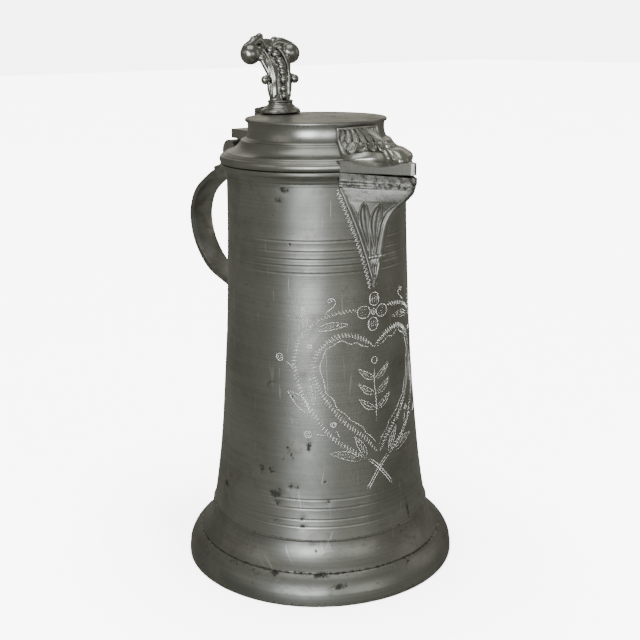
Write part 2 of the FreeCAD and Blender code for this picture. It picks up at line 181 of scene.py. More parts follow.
# ---- pewter -------------------------------------------------------------------------------
class Nodes:
    """Short calls for building one material's node tree."""

    def __init__(self, material):
        material.use_nodes = True
        self.tree = material.node_tree
        self.tree.nodes.clear()

    def add(self, kind, inputs=None, **settings):
        node = self.tree.nodes.new(kind)
        for key, value in settings.items():
            setattr(node, key, value)
        for key, value in (inputs or {}).items():
            if isinstance(value, bpy.types.NodeSocket):
                self.tree.links.new(value, node.inputs[key])
            else:
                node.inputs[key].default_value = value
        return node
    def math(self, op, a, b=0.0, clamp=False):
        return self.add("ShaderNodeMath", {0: a, 1: b}, operation=op, use_clamp=clamp).outputs[0]

    def plus(self, a, b, clamp=False):
        return self.math("ADD", a, b, clamp)

    def minus(self, a, b):
        return self.math("SUBTRACT", a, b)

    def times(self, a, b, clamp=False):
        return self.math("MULTIPLY", a, b, clamp)

    def most(self, a, b):
        return self.math("MAXIMUM", a, b)

    def placed(self, vector, scale, turn=(0, 0, 0)):
        """The place stretched by a scale per axis, after a turn in radians."""
        return self.add("ShaderNodeMapping", {"Vector": vector, "Scale": scale, "Rotation": turn}).outputs[0]

    def noise(self, vector, scale, detail=3.0, rough=0.55, distortion=0.0):
        settings = {"Vector": vector, "Scale": scale, "Detail": detail, "Roughness": rough,
                    "Distortion": distortion}
        return self.add("ShaderNodeTexNoise", settings).outputs["Fac"]

    def band(self, value, low, high, to_low=0.0, to_high=1.0):
        """Smooth step from to_low to to_high as the value goes from low to high."""
        settings = {"Value": value, "From Min": low, "From Max": high, "To Min": to_low, "To Max": to_high}
        return self.add("ShaderNodeMapRange", settings, interpolation_type="SMOOTHSTEP").outputs["Result"]

    def mark(self, name):
        """A value stored at the mesh's points."""
        return self.add("ShaderNodeAttribute", attribute_name=name).outputs["Fac"]

    def mix(self, factor, a, b):
        node = self.tree.nodes.new("ShaderNodeMix")
        node.data_type = "RGBA"
        sockets = {s.identifier: s for s in node.inputs}
        for key, value in (("Factor_Float", factor), ("A_Color", a), ("B_Color", b)):
            if isinstance(value, bpy.types.NodeSocket):
                self.tree.links.new(value, sockets[key])
            else:
                sockets[key].default_value = value if key == "Factor_Float" else (*value, 1)
        return {s.identifier: s for s in node.outputs}["Result_Color"]


BROWN = (0.155, 0.125, 0.082)
GRIME_AND_SHADE_COLOUR = (0.060, 0.055, 0.043)
SCRATCHED = (0.72, 0.71, 0.68)
RUBBED = (0.72, 0.72, 0.69)
WORN = (0.66, 0.65, 0.61)


def tone(colour, factor):
    return tuple(min(1.0, c * factor) for c in colour)


def tool_marks(n, place, run):
    """Fine streaks and broad bands: round a turned piece, round a flat top, or along a casting."""
    if run == "round":
        return (n.noise(n.placed(place, (9, 9, 1500)), 1.0, 4, 0.75),
                n.noise(n.placed(place, (5, 5, 260)), 1.0, 3, 0.6))
    if run == "cast":
        return (n.noise(n.placed(place, (300, 60, 300)), 1.0, 4, 0.7),
                n.noise(n.placed(place, (70, 30, 70)), 1.0, 3, 0.6))
    x, y = n.add("ShaderNodeSeparateXYZ", {0: place}).outputs[:2]
    radius = n.math("SQRT", n.plus(n.times(x, x), n.times(y, y)))
    rings = n.add("ShaderNodeCombineXYZ", {0: n.times(radius, 1500.0), 1: n.times(x, 12.0),
                                           2: n.times(y, 12.0)}).outputs[0]
    return n.noise(rings, 1.0, 4, 0.75), n.noise(n.placed(rings, (0.2, 1, 1)), 1.0, 3, 0.6)


def pewter(name, base, rough=0.34, run="round", brown=0.35, pits=0.5, grain=1.0, hollow_shade=0.0,
           marks=False, bright_edges=0.25, metal=1.0, hollow_shade_size=0.0030):
    """Aged satin pewter: clouded grey, brown tarnish, tool marks, scratches, pits, painted shade in hollows
    and worn edges.
    """
    material = bpy.data.materials.new(name)
    n = Nodes(material)
    place = n.add("ShaderNodeTexCoord").outputs["Object"]
    cloud = n.noise(place, 24, 5, 0.6, 0.6)
    patch = n.noise(place, 61, 6, 0.65, 1.2)
    fleck = n.noise(place, 420, 4, 0.6)
    fine = n.noise(place, 2600, 2, 0.5)
    streak, broad = tool_marks(n, place, run)

    # long thin scratches in two directions
    one_way = n.noise(n.placed(place, (34, 900, 34), (0.5, 0.35, 0.8)), 1.0, 2, 0.4, 0.4)
    other_way = n.noise(n.placed(place, (900, 30, 40), (-0.7, 0.2, -0.4)), 1.0, 2, 0.4, 0.4)
    scratch = n.most(n.band(one_way, 0.70, 0.76), n.band(other_way, 0.71, 0.77))

    # corrosion pits, each in one cell of a scatter and only where a second noise is high
    cell = n.add("ShaderNodeTexVoronoi", {"Vector": place, "Scale": 170.0, "Randomness": 1.0})
    near = n.band(cell.outputs["Distance"], 0.05, 0.16, 1.0, 0.0)
    chosen = n.band(n.noise(place, 95, 2, 0.5), 0.60 - 0.08 * pits, 0.66 - 0.08 * pits)
    pit = n.times(n.times(near, chosen), n.band(fleck, 0.42, 0.58), clamp=True)

    # each layer lies over the ones before it
    tarnish = n.times(n.band(patch, 0.50, 0.72), brown)
    colour = n.mix(n.band(cloud, 0.32, 0.68), tone(base, 0.74), tone(base, 1.16))
    for amount, over in ((n.times(n.band(streak, 0.40, 0.66), 0.30), tone(base, 0.66)),
                         (n.times(n.band(broad, 0.45, 0.70), 0.22), tone(base, 1.25)),
                         (tarnish, BROWN),
                         (n.times(n.band(fleck, 0.56, 0.74), 0.30), tone(base, 0.55)),
                         (n.times(scratch, 0.45), SCRATCHED)):
        colour = n.mix(amount, colour, over)
    roughness = n.plus(n.band(cloud, 0.3, 0.7, rough + 0.07, rough - 0.05), n.times(tarnish, 0.25))
    roughness = n.plus(roughness, n.times(fine, 0.06))

    # dirt in pits, painted shade in hollows, and the stains, dirt and painted shade that the mesh's marks
    # carry
    dirt_and_shade = n.times(pit, 0.85)
    if hollow_shade:
        # painted shade: darker where the ambient occlusion node finds the surface hidden
        ao_shade = n.add("ShaderNodeAmbientOcclusion", {"Distance": hollow_shade_size}, samples=6)
        dirt_and_shade = n.most(dirt_and_shade, n.band(ao_shade.outputs["AO"], 0.35, 0.92, hollow_shade, 0.0))
    if marks:
        # the mesh's marks: stains on the drum and foot, dirt and painted shade in the hollows of the beak and
        # cover
        stain = n.mark("stain")
        broken = n.plus(n.times(n.minus(fleck, 0.5), 1.5), n.times(n.minus(fine, 0.5), 1.1))
        stain = n.plus(stain, n.times(broken, n.band(stain, 0.02, 0.30)))
        dirt_and_shade = n.most(dirt_and_shade, n.band(stain, 0.34, 0.82, 0.0, 0.86))
    colour = n.mix(dirt_and_shade, colour, GRIME_AND_SHADE_COLOUR)
    if marks:
        rubbed = n.times(n.mark("rubbed"), n.band(fleck, 0.30, 0.55, 0.55, 1.0))
        colour = n.mix(rubbed, colour, RUBBED)
        roughness = n.minus(roughness, n.times(rubbed, 0.08))
    if bright_edges:
        pointed = n.band(n.add("ShaderNodeNewGeometry").outputs["Pointiness"], 0.53, 0.60)
        worn = n.times(pointed, n.times(n.band(fleck, 0.35, 0.6), bright_edges))
        colour = n.mix(worn, colour, WORN)
        roughness = n.minus(roughness, n.times(worn, 0.15))
    roughness = n.plus(roughness, n.times(dirt_and_shade, 0.30), clamp=True)

    height = n.times(streak, 0.50 * grain)
    for layer, amount in ((broad, 0.35), (fine, 0.18), (patch, 0.9), (scratch, -0.5), (pit, -3.0)):
        height = n.plus(height, n.times(layer, amount))
    relief = n.add("ShaderNodeBump", {"Height": height, "Strength": 0.28, "Distance": 0.00016})
    shader = n.add("ShaderNodeBsdfPrincipled", {"Base Color": colour, "Metallic": metal,
                                                "Roughness": roughness, "Normal": relief.outputs[0]})
    n.add("ShaderNodeOutputMaterial", {"Surface": shader.outputs[0]})
    return material


GREY = (0.40, 0.405, 0.385)
DRUM_PEWTER = pewter("aged_pewter_drum", GREY, 0.36, "round", 0.30, 0.6, marks=True, bright_edges=0.15)
# the foot's grey is darkened to 0.84 as painted shade, toning down the highlight its flare catches
FOOT_PEWTER = pewter("aged_pewter_foot", tone(GREY, 0.84), 0.39, "round", 0.40, 0.8, marks=True)
RIM_PEWTER = pewter("aged_pewter_rim", GREY, 0.32, "round", 0.45, 0.5)
LID_PEWTER = pewter("aged_pewter_lid", GREY, 0.30, "round", 0.40, 0.5)
DISC_PEWTER = pewter("aged_pewter_lid_top", tone(GREY, 0.97), 0.36, "flat", 0.70, 0.7)
BEAK_PEWTER = pewter("cast_pewter_beak", tone(GREY, 1.04), 0.33, "cast", 0.25, 0.5,
                     hollow_shade=0.55, marks=True, bright_edges=0.2)
# the cover's grey is lifted 1.42 times as painted light, standing in for light its upturned faces do not catch
COVER_PEWTER = pewter("cast_pewter_leaf_cover", tone(GREY, 1.42), 0.27, "cast", 0.45, 0.4,
                      hollow_shade=0.65, marks=True, bright_edges=0.2, hollow_shade_size=0.0018)
THUMB_PEWTER = pewter("cast_pewter_thumbpiece", tone(GREY, 0.98), 0.22, "cast", 0.45, 0.0, 0.5,
                      hollow_shade=0.92, bright_edges=0.0, hollow_shade_size=0.0022)
HANDLE_PEWTER = pewter("cast_pewter_handle", tone(GREY, 0.94), 0.34, "cast", 0.60, 0.8,
                       hollow_shade=0.40, bright_edges=0.3)
INSIDE_PEWTER = pewter("dull_pewter_inside", tone(GREY, 0.80), 0.45, "flat", 0.60, 0.9)
PIN_METAL = pewter("worn_pin_metal", (0.33, 0.32, 0.29), 0.30, "cast", 0.5, 0.6)
CUT_PEWTER = pewter("bright_cut_pewter", (0.78, 0.79, 0.76), 0.38, "cast", 0.0, 0.0,
                    metal=0.50, bright_edges=0.0)


def finish_piece(piece, body, slot, *nodes):
    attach(piece, body)
    if nodes:
        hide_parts(*nodes)


# ---- drum ---------------------------------------------------------------------------------
SHOULDER_Z, BAND_Z, RIM_Z = 28.5, 198.3, 205.2
DRUM_TOP_R, DRUM_WALL = 44.3, 2.5
BEAK_APEX_Z, CHANNEL_Z = 148.5, 170.0
CHANNEL_HALF_W, BEAK_WALL = 14.8, 2.2
TURNED_LINES = (34.5, 38.0, 43.5, 48.0, 158.3, 161.8, 164.8, 168.4, 173.4)

# angle, height, half width, half height and strength of each old stain or pit
STAINS = ((-56, 197, 3, 1.6, 0.9), (-60, 192, 2.5, 1.6, 0.8), (-69, 61, 2.4, 2.0, 0.9),
          (-63, 61, 2.8, 1.8, 0.9), (-60, 50, 4.5, 3.0, 1.0), (-58.5, 45.6, 3.0, 1.8, 0.9),
          (-50.4, 54, 3.6, 1.8, 0.8), (-41.7, 75, 1.6, 3.4, 1.0), (-45, 38.6, 1.4, 1.2, 0.9),
          (-44.8, 34.6, 1.4, 1.2, 0.9), (-31.3, 47.1, 1.6, 1.2, 0.8), (17.8, 32.8, 1.2, 7.0, 0.9),
          (18.2, 196.5, 2.6, 1.6, 0.6), (32, 136, 1.2, 4.5, 0.8), (30, 126, 3.0, 1.0, 0.8),
          (-66.7, 103, 1.0, 2.2, 0.7), (-64, 105.5, 2.6, 0.8, 0.7), (25, 123, 1.4, 1.0, 0.6),
          (100, 80, 3.4, 2.2, 0.9), (132, 55, 4.4, 2.4, 0.9), (150, 160, 2.0, 1.4, 0.8),
          (205, 70, 3.2, 2.6, 0.9), (238, 120, 2.2, 1.6, 0.8), (262, 45, 4.0, 2.2, 0.9),
          (275, 150, 1.8, 1.2, 0.7), (70, 140, 1.6, 2.4, 0.7), (300, 36, 3.0, 1.4, 0.8))
# angle and height of both ends of the deeper scratches
SCRATCHES = ((-56.5, 76.0, -50.0, 68.5), (-50.0, 76.5, -57.0, 66.5), (28, 131, 36, 133.5),
             (29, 139, 31, 133.0), (112, 102, 120, 95), (215, 150, 224, 146), (250, 85, 246, 74))


def drum_radius(z):
    """Outer radius of the drum at height z: a long taper that kicks out at the foot."""
    t = np.clip((BAND_Z - z) / (BAND_Z - SHOULDER_Z), 0, None)
    return DRUM_TOP_R + 10.2 * t**1.85 + 1.4 * t**8


def beak_half_width(z):
    """Half of the beak's width where it meets the drum, at height z."""
    s = np.clip((z - BEAK_APEX_Z) / (BAND_Z - BEAK_APEX_Z), 0, None)
    return 0.5 + 16.8 * s**1.2


def channel_half_angle(z):
    """Half of the opening in the drum behind the beak, in degrees, at height z."""
    if z < CHANNEL_Z:
        return 0.0
    half = min(beak_half_width(min(z, BAND_Z)) - BEAK_WALL, CHANNEL_HALF_W)
    return math.degrees(math.asin(half / DRUM_TOP_R))


# lines turned into the drum: a groove with a slight lip on both sides, tabled by height;
# the worn ones near the foot are shallower
GROOVE_DEPTH, LIP_HEIGHT, LIP_OFF, GROOVE_HALF = 0.15, 0.05, 0.75, 0.42
WORN_LINE_Z, WORN_LINE_DEPTH = 100, 0.55
LEVELS = np.arange(SHOULDER_Z - 2, RIM_Z + 2, 0.05)
TURNED_RELIEF = sum((1.0 if line > WORN_LINE_Z else WORN_LINE_DEPTH)
                    * (LIP_HEIGHT * (bump(LEVELS, line - LIP_OFF, 0.4) + bump(LEVELS, line + LIP_OFF, 0.4))
                       - GROOVE_DEPTH * bump(LEVELS, line, GROOVE_HALF)) for line in TURNED_LINES)


def drum_surface(t, z):
    """Radius of the worn, slightly uneven drum at each angle t (radians) and height z."""
    t, z = np.atleast_1d(t), np.broadcast_to(z, np.shape(np.atleast_1d(t)))
    sway = np.array([ripple(50 * math.cos(a), 50 * math.sin(a), h, 42) for a, h in zip(t, z)])
    fade = ramp(z, SHOULDER_Z, 40) * (1 - ramp(z, 150, 190))
    return drum_radius(z) + np.interp(z, LEVELS, TURNED_RELIEF) + 0.22 * sway * fade


def arc_gap(a, b):
    """Smallest difference between angles in degrees."""
    return (a - b + 180) % 360 - 180


def wear(angles, z):
    """Depth lost to stains and scratches, and how dark they are, along one ring of the drum."""
    r = drum_radius(z)
    depth, stain = np.zeros(len(angles)), np.zeros(len(angles))
    for angle, height, half_w, half_h, strength in STAINS:
        if abs(z - height) > 2.2 * half_h:
            continue
        across = np.radians(arc_gap(angles, angle)) * r / half_w
        near = np.exp(-(across**2 + ((z - height) / half_h)**2))
        stain = np.maximum(stain, strength * near)
        depth = np.maximum(depth, 0.22 * strength * near)
    for a0, z0, a1, z1 in SCRATCHES:
        if not min(z0, z1) - 1 < z < max(z0, z1) + 1:
            continue
        start, along = np.array([0.0, z0]), np.array([math.radians(a1 - a0) * r, z1 - z0])
        here = np.stack([np.radians(arc_gap(angles, a0)) * r, np.full(len(angles), z)], 1)
        t = np.clip((here - start) @ along / (along @ along), 0, 1)
        off = np.linalg.norm(here - start - t[:, None] * along, axis=1)
        stain = np.maximum(stain, 0.75 * bell(off, 0, 0.55))
    return depth, stain


def drum_heights():
    """Levels of the drum's rows: even ones, the edges of its parts, and close ones at each turned line."""
    heights = [*np.arange(SHOULDER_Z, RIM_Z, 1.6), RIM_Z, CHANNEL_Z, CHANNEL_Z - 0.05, BAND_Z, BAND_Z - 0.4]
    heights += [line + d for line in TURNED_LINES for d in (-0.95, -0.6, -0.3, 0, 0.3, 0.6, 0.95)]
    heights = sorted(heights)
    return [z for k, z in enumerate(heights) if k == 0 or z - heights[k - 1] > 0.04]


def make_drum():
    heights, columns = drum_heights(), 300
    outer, inner, stains = [], [], []
    for z in heights:
        gap = channel_half_angle(z)
        angles = np.linspace(gap, 360 - gap, columns + 1)
        depth, stain = wear(angles, z)
        t = np.radians(angles)
        outer.append(around(drum_surface(t, z) - depth, t, z))
        inner.append(around(drum_radius(z) - DRUM_WALL, t, z))
        stains.append(stain)
    opening = max(k for k, z in enumerate(heights) if z < CHANNEL_Z)
    return wall("drum_wall", outer, inner, DRUM_PEWTER, 40, {"stain": stains}, opening)


finish_piece(make_drum(), "vessel", "pewter_drum", "drum")


# ---- engraving on the drum ----------------------------------------------------------------
class Engraving:
    """Fine cut strokes laid on the drum, drawn in (angle, height) pairs."""

    LIFT, BED = 0.07, -0.10     # a stroke's crest above the drum and its edges below it

    def __init__(self):
        self.points, self.faces = [], []

    def flat(self, path):
        """The (angle, height) pairs on the unrolled drum, in mm."""
        path = np.array(path, float)
        return np.stack([np.radians(path[:, 0]) * drum_radius(path[:, 1]), path[:, 1]], 1)

    def place(self, flat, lift):
        """Points on the drum, lifted off it, from points of the unrolled drum."""
        z = flat[:, 1]
        t = flat[:, 0] / drum_radius(z)
        return around(drum_surface(t, z) + lift, t, z)

    def stroke(self, flat, width, taper=0.3, closed=False):
        """One ridge-shaped stroke along points in the unrolled drum surface."""
        flat = np.asarray(flat, float)
        count = len(flat)
        if closed:
            ahead = np.roll(flat, -1, 0) - np.roll(flat, 1, 0)
        else:
            ahead = np.gradient(flat, axis=0)
        ahead /= np.maximum(np.linalg.norm(ahead, axis=1, keepdims=True), 1e-9)
        side = np.stack([-ahead[:, 1], ahead[:, 0]], 1)
        swell = np.ones(count)
        if not closed and taper:
            t = np.linspace(0, 1, count)
            swell = np.clip(np.minimum(t, 1 - t) / taper, 0.12, 1)
        half = (0.5 * width * swell)[:, None]
        first = len(self.points)
        bed = np.full(count, self.BED)
        rows = self.place(np.concatenate([flat + side * half, flat, flat - side * half]),
                          np.concatenate([bed, self.LIFT * swell, bed]))
        left, crest, right = rows[:count], rows[count:2 * count], rows[2 * count:]
        for k in range(count):
            self.points += [left[k], crest[k], right[k]]
        for k in range(count if closed else count - 1):
            a, b = first + 3 * k, first + 3 * ((k + 1) % count)
            self.faces += [(a, b, b + 1, a + 1), (a + 1, b + 1, b + 2, a + 2), (a + 2, b + 2, b, a)]
        if not closed:
            last = first + 3 * (count - 1)
            self.faces += [(first, first + 1, first + 2), (last + 2, last + 1, last)]

    def cut(self, a, b, width, taper=0.4):
        """One straight cut."""
        self.stroke(a + (b - a) * np.linspace(0, 1, 4)[:, None], width, taper)

    def line(self, path, width=0.34, taper=0.15):
        flat = self.flat(path)
        length = np.linalg.norm(np.diff(flat, axis=0), axis=1).sum()
        self.stroke(smooth_path(flat, max(6, int(length / 0.8))), width, taper)

    def wriggle(self, path, half_width, pitch, bold=0.46, thin=0.20, ends=0.08):
        """Wriggle-work: close zigzag cuts, one leg bold and one leg thin."""
        flat = self.flat(path)
        length = np.linalg.norm(np.diff(flat, axis=0), axis=1).sum()
        steps = max(4, int(2 * length / pitch))
        spine = smooth_path(flat, steps + 1)
        ahead = np.gradient(spine, axis=0)
        ahead /= np.linalg.norm(ahead, axis=1, keepdims=True)
        side = np.stack([-ahead[:, 1], ahead[:, 0]], 1)
        t = np.linspace(0, 1, steps + 1)
        reach = half_width * np.clip(np.minimum(t, 1 - t) / ends, 0.35, 1)
        zig = spine + side * (reach * np.where(np.arange(steps + 1) % 2, 1, -1))[:, None]
        for k in range(steps):
            self.cut(zig[k], zig[k + 1], bold if k % 2 else thin, 0.34)

    def ring(self, centre, half_w, half_h, width=0.36):
        c = self.flat([centre])[0]
        t = np.linspace(0, 2 * math.pi, 28, endpoint=False)
        self.stroke(c + np.stack([half_w * np.cos(t), half_h * np.sin(t)], 1), width, 0, True)

    def leaf(self, base, tip, half_w, bend=0.0, hatch=5, width=0.34, dotted=False):
        """Pointed leaf between two places: two bowed sides, a vein and slanting hatch cuts."""
        a, b = self.flat([base])[0], self.flat([tip])[0]
        along = b - a
        size = np.linalg.norm(along)
        side = np.array([-along[1], along[0]]) / size
        t = np.linspace(0, 1, 13)
        mid = a + along * t[:, None] + side * (bend * np.sin(np.pi * t))[:, None]
        bow = half_w * np.sin(np.pi * t**0.85)
        for s in (-1, 1):
            edge = mid + side * (s * bow)[:, None]
            if dotted:
                for a, b in zip(edge[:-1], edge[1:]):
                    self.stroke(a + (b - a) * np.array([[0.05], [0.4], [0.75]]), 0.42, 0.34)
            else:
                self.stroke(edge, width, 0.12)
        for k in range(hatch):
            at = int(round(2 + 8 * k / max(1, hatch - 1)))
            for s in (-1, 1):
                self.cut(mid[at], mid[min(at + 2, 12)] + side * (s * 0.72 * bow[at]), 0.24)
        self.stroke(mid[1:-1], 0.22, 0.3)

    def petal(self, centre, half_w, half_h):
        """Oval with five cuts along its longer way."""
        self.ring(centre, half_w, half_h, 0.40)
        c = self.flat([centre])[0]
        for k in range(5):
            t = (k - 2) / 2.6
            if half_w > half_h:
                self.cut(c + (-0.62 * half_w, t * half_h), c + (0.62 * half_w, t * half_h), 0.22)
            else:
                self.cut(c + (t * half_w, -0.62 * half_h), c + (t * half_w, 0.62 * half_h), 0.22)


MIRROR_ANGLE = -1.2             # the ornament's middle line, a little off the beak
# one side of the ornament: places are (angle, height) pairs, sizes are in mm
HEART = [(-1.0, 120.6), (-4.0, 123.0), (-8.6, 125.5), (-13.6, 127.3), (-19.2, 128.4), (-25.0, 127.8),
         (-30.0, 125.7), (-35.2, 122.1), (-37.8, 117.8), (-38.8, 113.5), (-38.2, 109.2),
         (-36.1, 103.7), (-32.4, 98.2), (-28.0, 92.6), (-23.8, 88.0), (-19.3, 83.9), (-12.7, 79.3),
         (-7.4, 74.8), (-2.0, 68.4)]
INNER_WAVE = [(-2.5, 120.6), (-9.4, 122.6), (-13.0, 124.4), (-16.9, 123.9), (-22.3, 126.0),
              (-27.4, 123.9), (-31.4, 122.0), (-33.6, 117.8), (-35.2, 113.5), (-33.8, 108.8),
              (-32.6, 105.3), (-31.8, 101.0), (-27.7, 97.6), (-25.4, 92.8), (-21.4, 90.2), (-17.3, 86.4),
              (-10.9, 82.6), (-8.9, 79.6), (-4.0, 75.4), (-2.2, 72.0)]
BRANCH = [(-12.6, 140.0), (-21.0, 139.6), (-27.1, 138.6), (-33.7, 137.0), (-39.6, 133.9), (-44.2, 130.6)]
WREATH = [(-44.2, 130.6), (-47.5, 126.2), (-49.2, 120.8), (-50.2, 115.8), (-49.4, 111.6), (-47.9, 106.7),
          (-45.9, 101.4), (-43.1, 96.6), (-39.3, 91.2), (-35.0, 85.7), (-30.2, 80.0), (-24.3, 75.5),
          (-17.6, 71.2), (-11.0, 67.2), (-9.5, 66.3)]
# path, half width, pitch, width of the bold cuts and of the thin ones
WRIGGLES = ((HEART, 1.45, 1.60, 0.44, 0.16), (BRANCH, 1.05, 1.70, 0.40, 0.18),
            (WREATH, 1.50, 1.70, 0.48, 0.18))
# line width, then the path
LINES = ((0.44, (-9.5, 66.3), (-2.6, 61.0), (7.2, 49.8)),
         (0.44, (-8.7, 67.2), (-1.6, 61.8), (8.4, 50.4)),
         (0.40, (-32.4, 138.9), (-29.1, 141.2), (-26.4, 142.9), (-25.4, 145.0), (-27.7, 146.7),
          (-29.7, 146.0)),
         (0.40, (-55.6, 116.3), (-52.9, 114.9), (-50.2, 113.1)),
         (0.40, (-38.4, 80.8), (-32.0, 80.1)),
         (0.34, (-26.5, 82.6), (-24.5, 78.4)))
# base, tip, half width, bend, number of hatch cuts, line width, dotted outline
LEAVES = (((-45.8, 130.0), (-44.8, 142.6), 1.9, 0.5, 5, 0.34, True),
          ((-38.0, 131.4), (-17.0, 133.4), 1.7, -0.9, 6, 0.34, False),
          ((-41.8, 91.1), (-54.2, 102.0), 2.5, 0.9, 0, 0.44, False),
          ((-38.9, 95.2), (-41.4, 109.4), 1.4, 0.3, 4, 0.34, True),
          ((-8.9, 66.8), (-16.1, 78.6), 1.7, 0.4, 5, 0.34, False),
          ((-12.6, 66.0), (-30.9, 71.1), 2.0, 1.0, 6, 0.34, False))
# centre and radius
BUDS = (((-59.1, 117.9), 1.7), ((-42.2, 80.7), 1.7), ((-27.9, 85.2), 1.3), ((-41.0, 123.7), 1.0))
CURL_EYE = (-29.0, 145.4)
# centre, half width and half height of the flower's petals
PETALS = (((0.1, 144.2), 2.9, 3.2), ((-1.2, 132.2), 2.9, 3.2), ((-7.7, 138.5), 3.5, 3.0),
          ((5.9, 137.9), 3.5, 3.0))
FLOWER_EYE = (-0.6, 138.2)


def half_ornament(work, side):
    """Heart half, wreath, buds and leaves on one side of the beak."""
    def p(*path):
        return [(2 * MIRROR_ANGLE - a, z) for a, z in path] if side > 0 else list(path)

    for path, *sizes in WRIGGLES:
        work.wriggle(p(*path), *sizes)
    work.line(p(*INNER_WAVE), 0.36, 0.05)
    for width, *path in LINES:
        work.line(p(*path), width)
    work.ring(*p(CURL_EYE), 0.9, 0.7)
    for base, tip, half_w, bend, *rest in LEAVES:
        work.leaf(*p(base, tip), half_w, bend * side, *rest)
    for centre, size in BUDS:
        work.ring(*p(centre), size, size, 0.42)
        work.ring(*p(centre), 0.5 * size, 0.5 * size, 0.30)
    # zigzag border on the drum along the edge of the beak
    heights = np.linspace(197.2, 149.5, 12)
    border = [(-math.degrees((beak_half_width(z) + 1.55) / drum_radius(z)), z) for z in heights]
    work.wriggle(p(*border), 1.3, 1.95, 0.62, 0.46, 0.02)


def make_engraving():
    work = Engraving()
    for side in (-1, 1):
        half_ornament(work, side)
    for petal in PETALS:
        work.petal(*petal)
    work.ring(FLOWER_EYE, 1.3, 1.3, 0.40)
    work.ring(FLOWER_EYE, 0.5, 0.5, 0.30)
    # a plain spray inside the heart
    work.line([(-1.6, 84.0), (-1.0, 94.0), (-1.8, 104.0), (-1.2, 112.0)], 0.34)
    for height in (90.0, 97.5, 105.0):
        work.leaf((-1.4, height), (-12.5, height + 6.5), 1.5, 0.6, 4, 0.30)
        work.leaf((-1.2, height), (9.8, height + 6.5), 1.5, -0.6, 4, 0.30)
    work.ring((-1.2, 114.4), 1.6, 1.6)
    return mesh_object("engraved_ornament", work.points, work.faces, CUT_PEWTER, 25)


finish_piece(make_engraving(), "vessel", "pewter_drum")


# ---- foot ---------------------------------------------------------------------------------
# angle and height of each stain, and which of them are the darkest
FOOT_STAINS = ((-12.7, 27.4), (-70.7, 26.4), (12.0, 25.0), (-64.5, 12.4), (-56.3, 13.4), (-45.2, 14.4),
               (-28.2, 9.4), (-79.3, 13.2), (-11.3, 8.0), (-36.0, 13.9), (4.0, 12.5), (40.0, 10.0),
               (95.0, 20.0), (140.0, 12.0), (190.0, 9.0), (228.0, 22.0), (262.0, 12.6), (320.0, 26.5))
DARKEST_FOOT_STAINS = (4, 6, 9)
RING_GROOVE_Z = 14.25


def foot_profile():
    """Outline of the hollow foot, up the outer side and down the inner one: (radius, height)."""
    outer = [(69.5, 0), (69.9, 0.4), (69.85, 2.6), (69.5, 5.6)]
    outer += arc3((69.5, 5.6), (67.6, 9.9), (63.9, 13.9), 16)[1:]
    outer += [(63.4, 14.05), (62.75, 14.15), (62.65, 14.45), (63.0, 14.75)]
    outer += arc3((63.0, 14.75), (58.8, 20.4), (56.5, 27.3), 22)[1:]
    outer += [(56.65, 27.6), (56.6, 28.2), (56.3, 28.5)]
    top = [(50.5, 28.5), (50.5, 25.6), (53.4, 25.6)]
    inner = arc3((53.4, 25.6), (56.4, 18.4), (60.8, 12.6), 8)[1:]
    inner += arc3((60.8, 12.6), (64.3, 8.8), (66.2, 4.0), 7)[1:]
    return outer + top + inner + [(66.2, 0.3), (66.5, 0)]


def make_foot():
    foot = turned("foot_and_ring", foot_profile(), 336, FOOT_PEWTER, 36, 0.20)
    mesh = foot.data
    co = np.zeros(len(mesh.vertices) * 3)
    mesh.vertices.foreach_get("co", co)
    x, y, z = co.reshape(-1, 3).T / MM
    angles, radius = np.degrees(np.arctan2(y, x)), np.hypot(x, y)
    # darker in the groove over the ring, at the joint with the drum and along the standing edge
    stain = np.maximum(0.60 * bell(z, RING_GROOVE_Z, 0.55) * (radius > 61), 0.55 * (z < 0.9))
    stain = np.maximum(stain, 0.50 * bell(z, SHOULDER_Z - 0.1, 0.5) * (radius > 55))
    for k, (angle, height) in enumerate(FOOT_STAINS):
        wide = 3.6 + 2.6 * ((k * 5) % 4) / 3
        across = np.radians(arc_gap(angles, angle)) * radius
        strength = 0.85 if k in DARKEST_FOOT_STAINS else 0.50
        stain = np.maximum(stain, strength * bell(across, 0, wide) * bell(z, height, 1.5))
    layer = mesh.attributes.new("stain", "FLOAT", "POINT")
    layer.data.foreach_set("value", stain.astype(np.float32))
    return foot


finish_piece(make_foot(), "vessel", "pewter_foot", "foot_skirt")


# ---- rim band -----------------------------------------------------------------------------
BEAK_HALF_ANGLE = 23.3


def make_rim_band():
    outline = [(44.28, 198.35), (44.7, 198.3), (45.0, 198.5), (45.05, 199.6), (44.85, 199.9), (45.1, 200.3)]
    outline += arc3((45.1, 200.3), (45.5, 201.9), (46.8, 203.1), 7)[1:]
    outline += [(47.1, 203.45), (47.2, 203.9), (47.2, 204.9), (46.95, 205.2), (44.28, 205.2)]
    return turned("rim_band_moulding", outline, 260, RIM_PEWTER, 34,
                  start=BEAK_HALF_ANGLE, end=360 - BEAK_HALF_ANGLE)


finish_piece(make_rim_band(), "vessel", "pewter_rim", "rim_band")


# ---- pouring beak -------------------------------------------------------------------------
RIDGE_Z = (148.5, 155.0, 161.5, 168.0, 174.0, 180.4, 184.2, 187.5, 190.1, 192.2, 194.5, 196.8, 198.3)
RIDGE_X = (45.3, 47.6, 49.8, 51.8, 53.1, 55.1, 57.3, 60.1, 63.2, 66.0, 69.0, 71.6, 72.8)
RIM_TIP_X, BEAK_DROP = 74.2, 1.0
LEAF_TOP_Z, LEAF_FOOT_Z, BEAD_Z = 191.6, 164.9, 166.2
BEAK_COLUMNS, NOSE_POINTS = 225, 25
RIDGE = smooth_path(list(zip(RIDGE_X, RIDGE_Z)), 160)


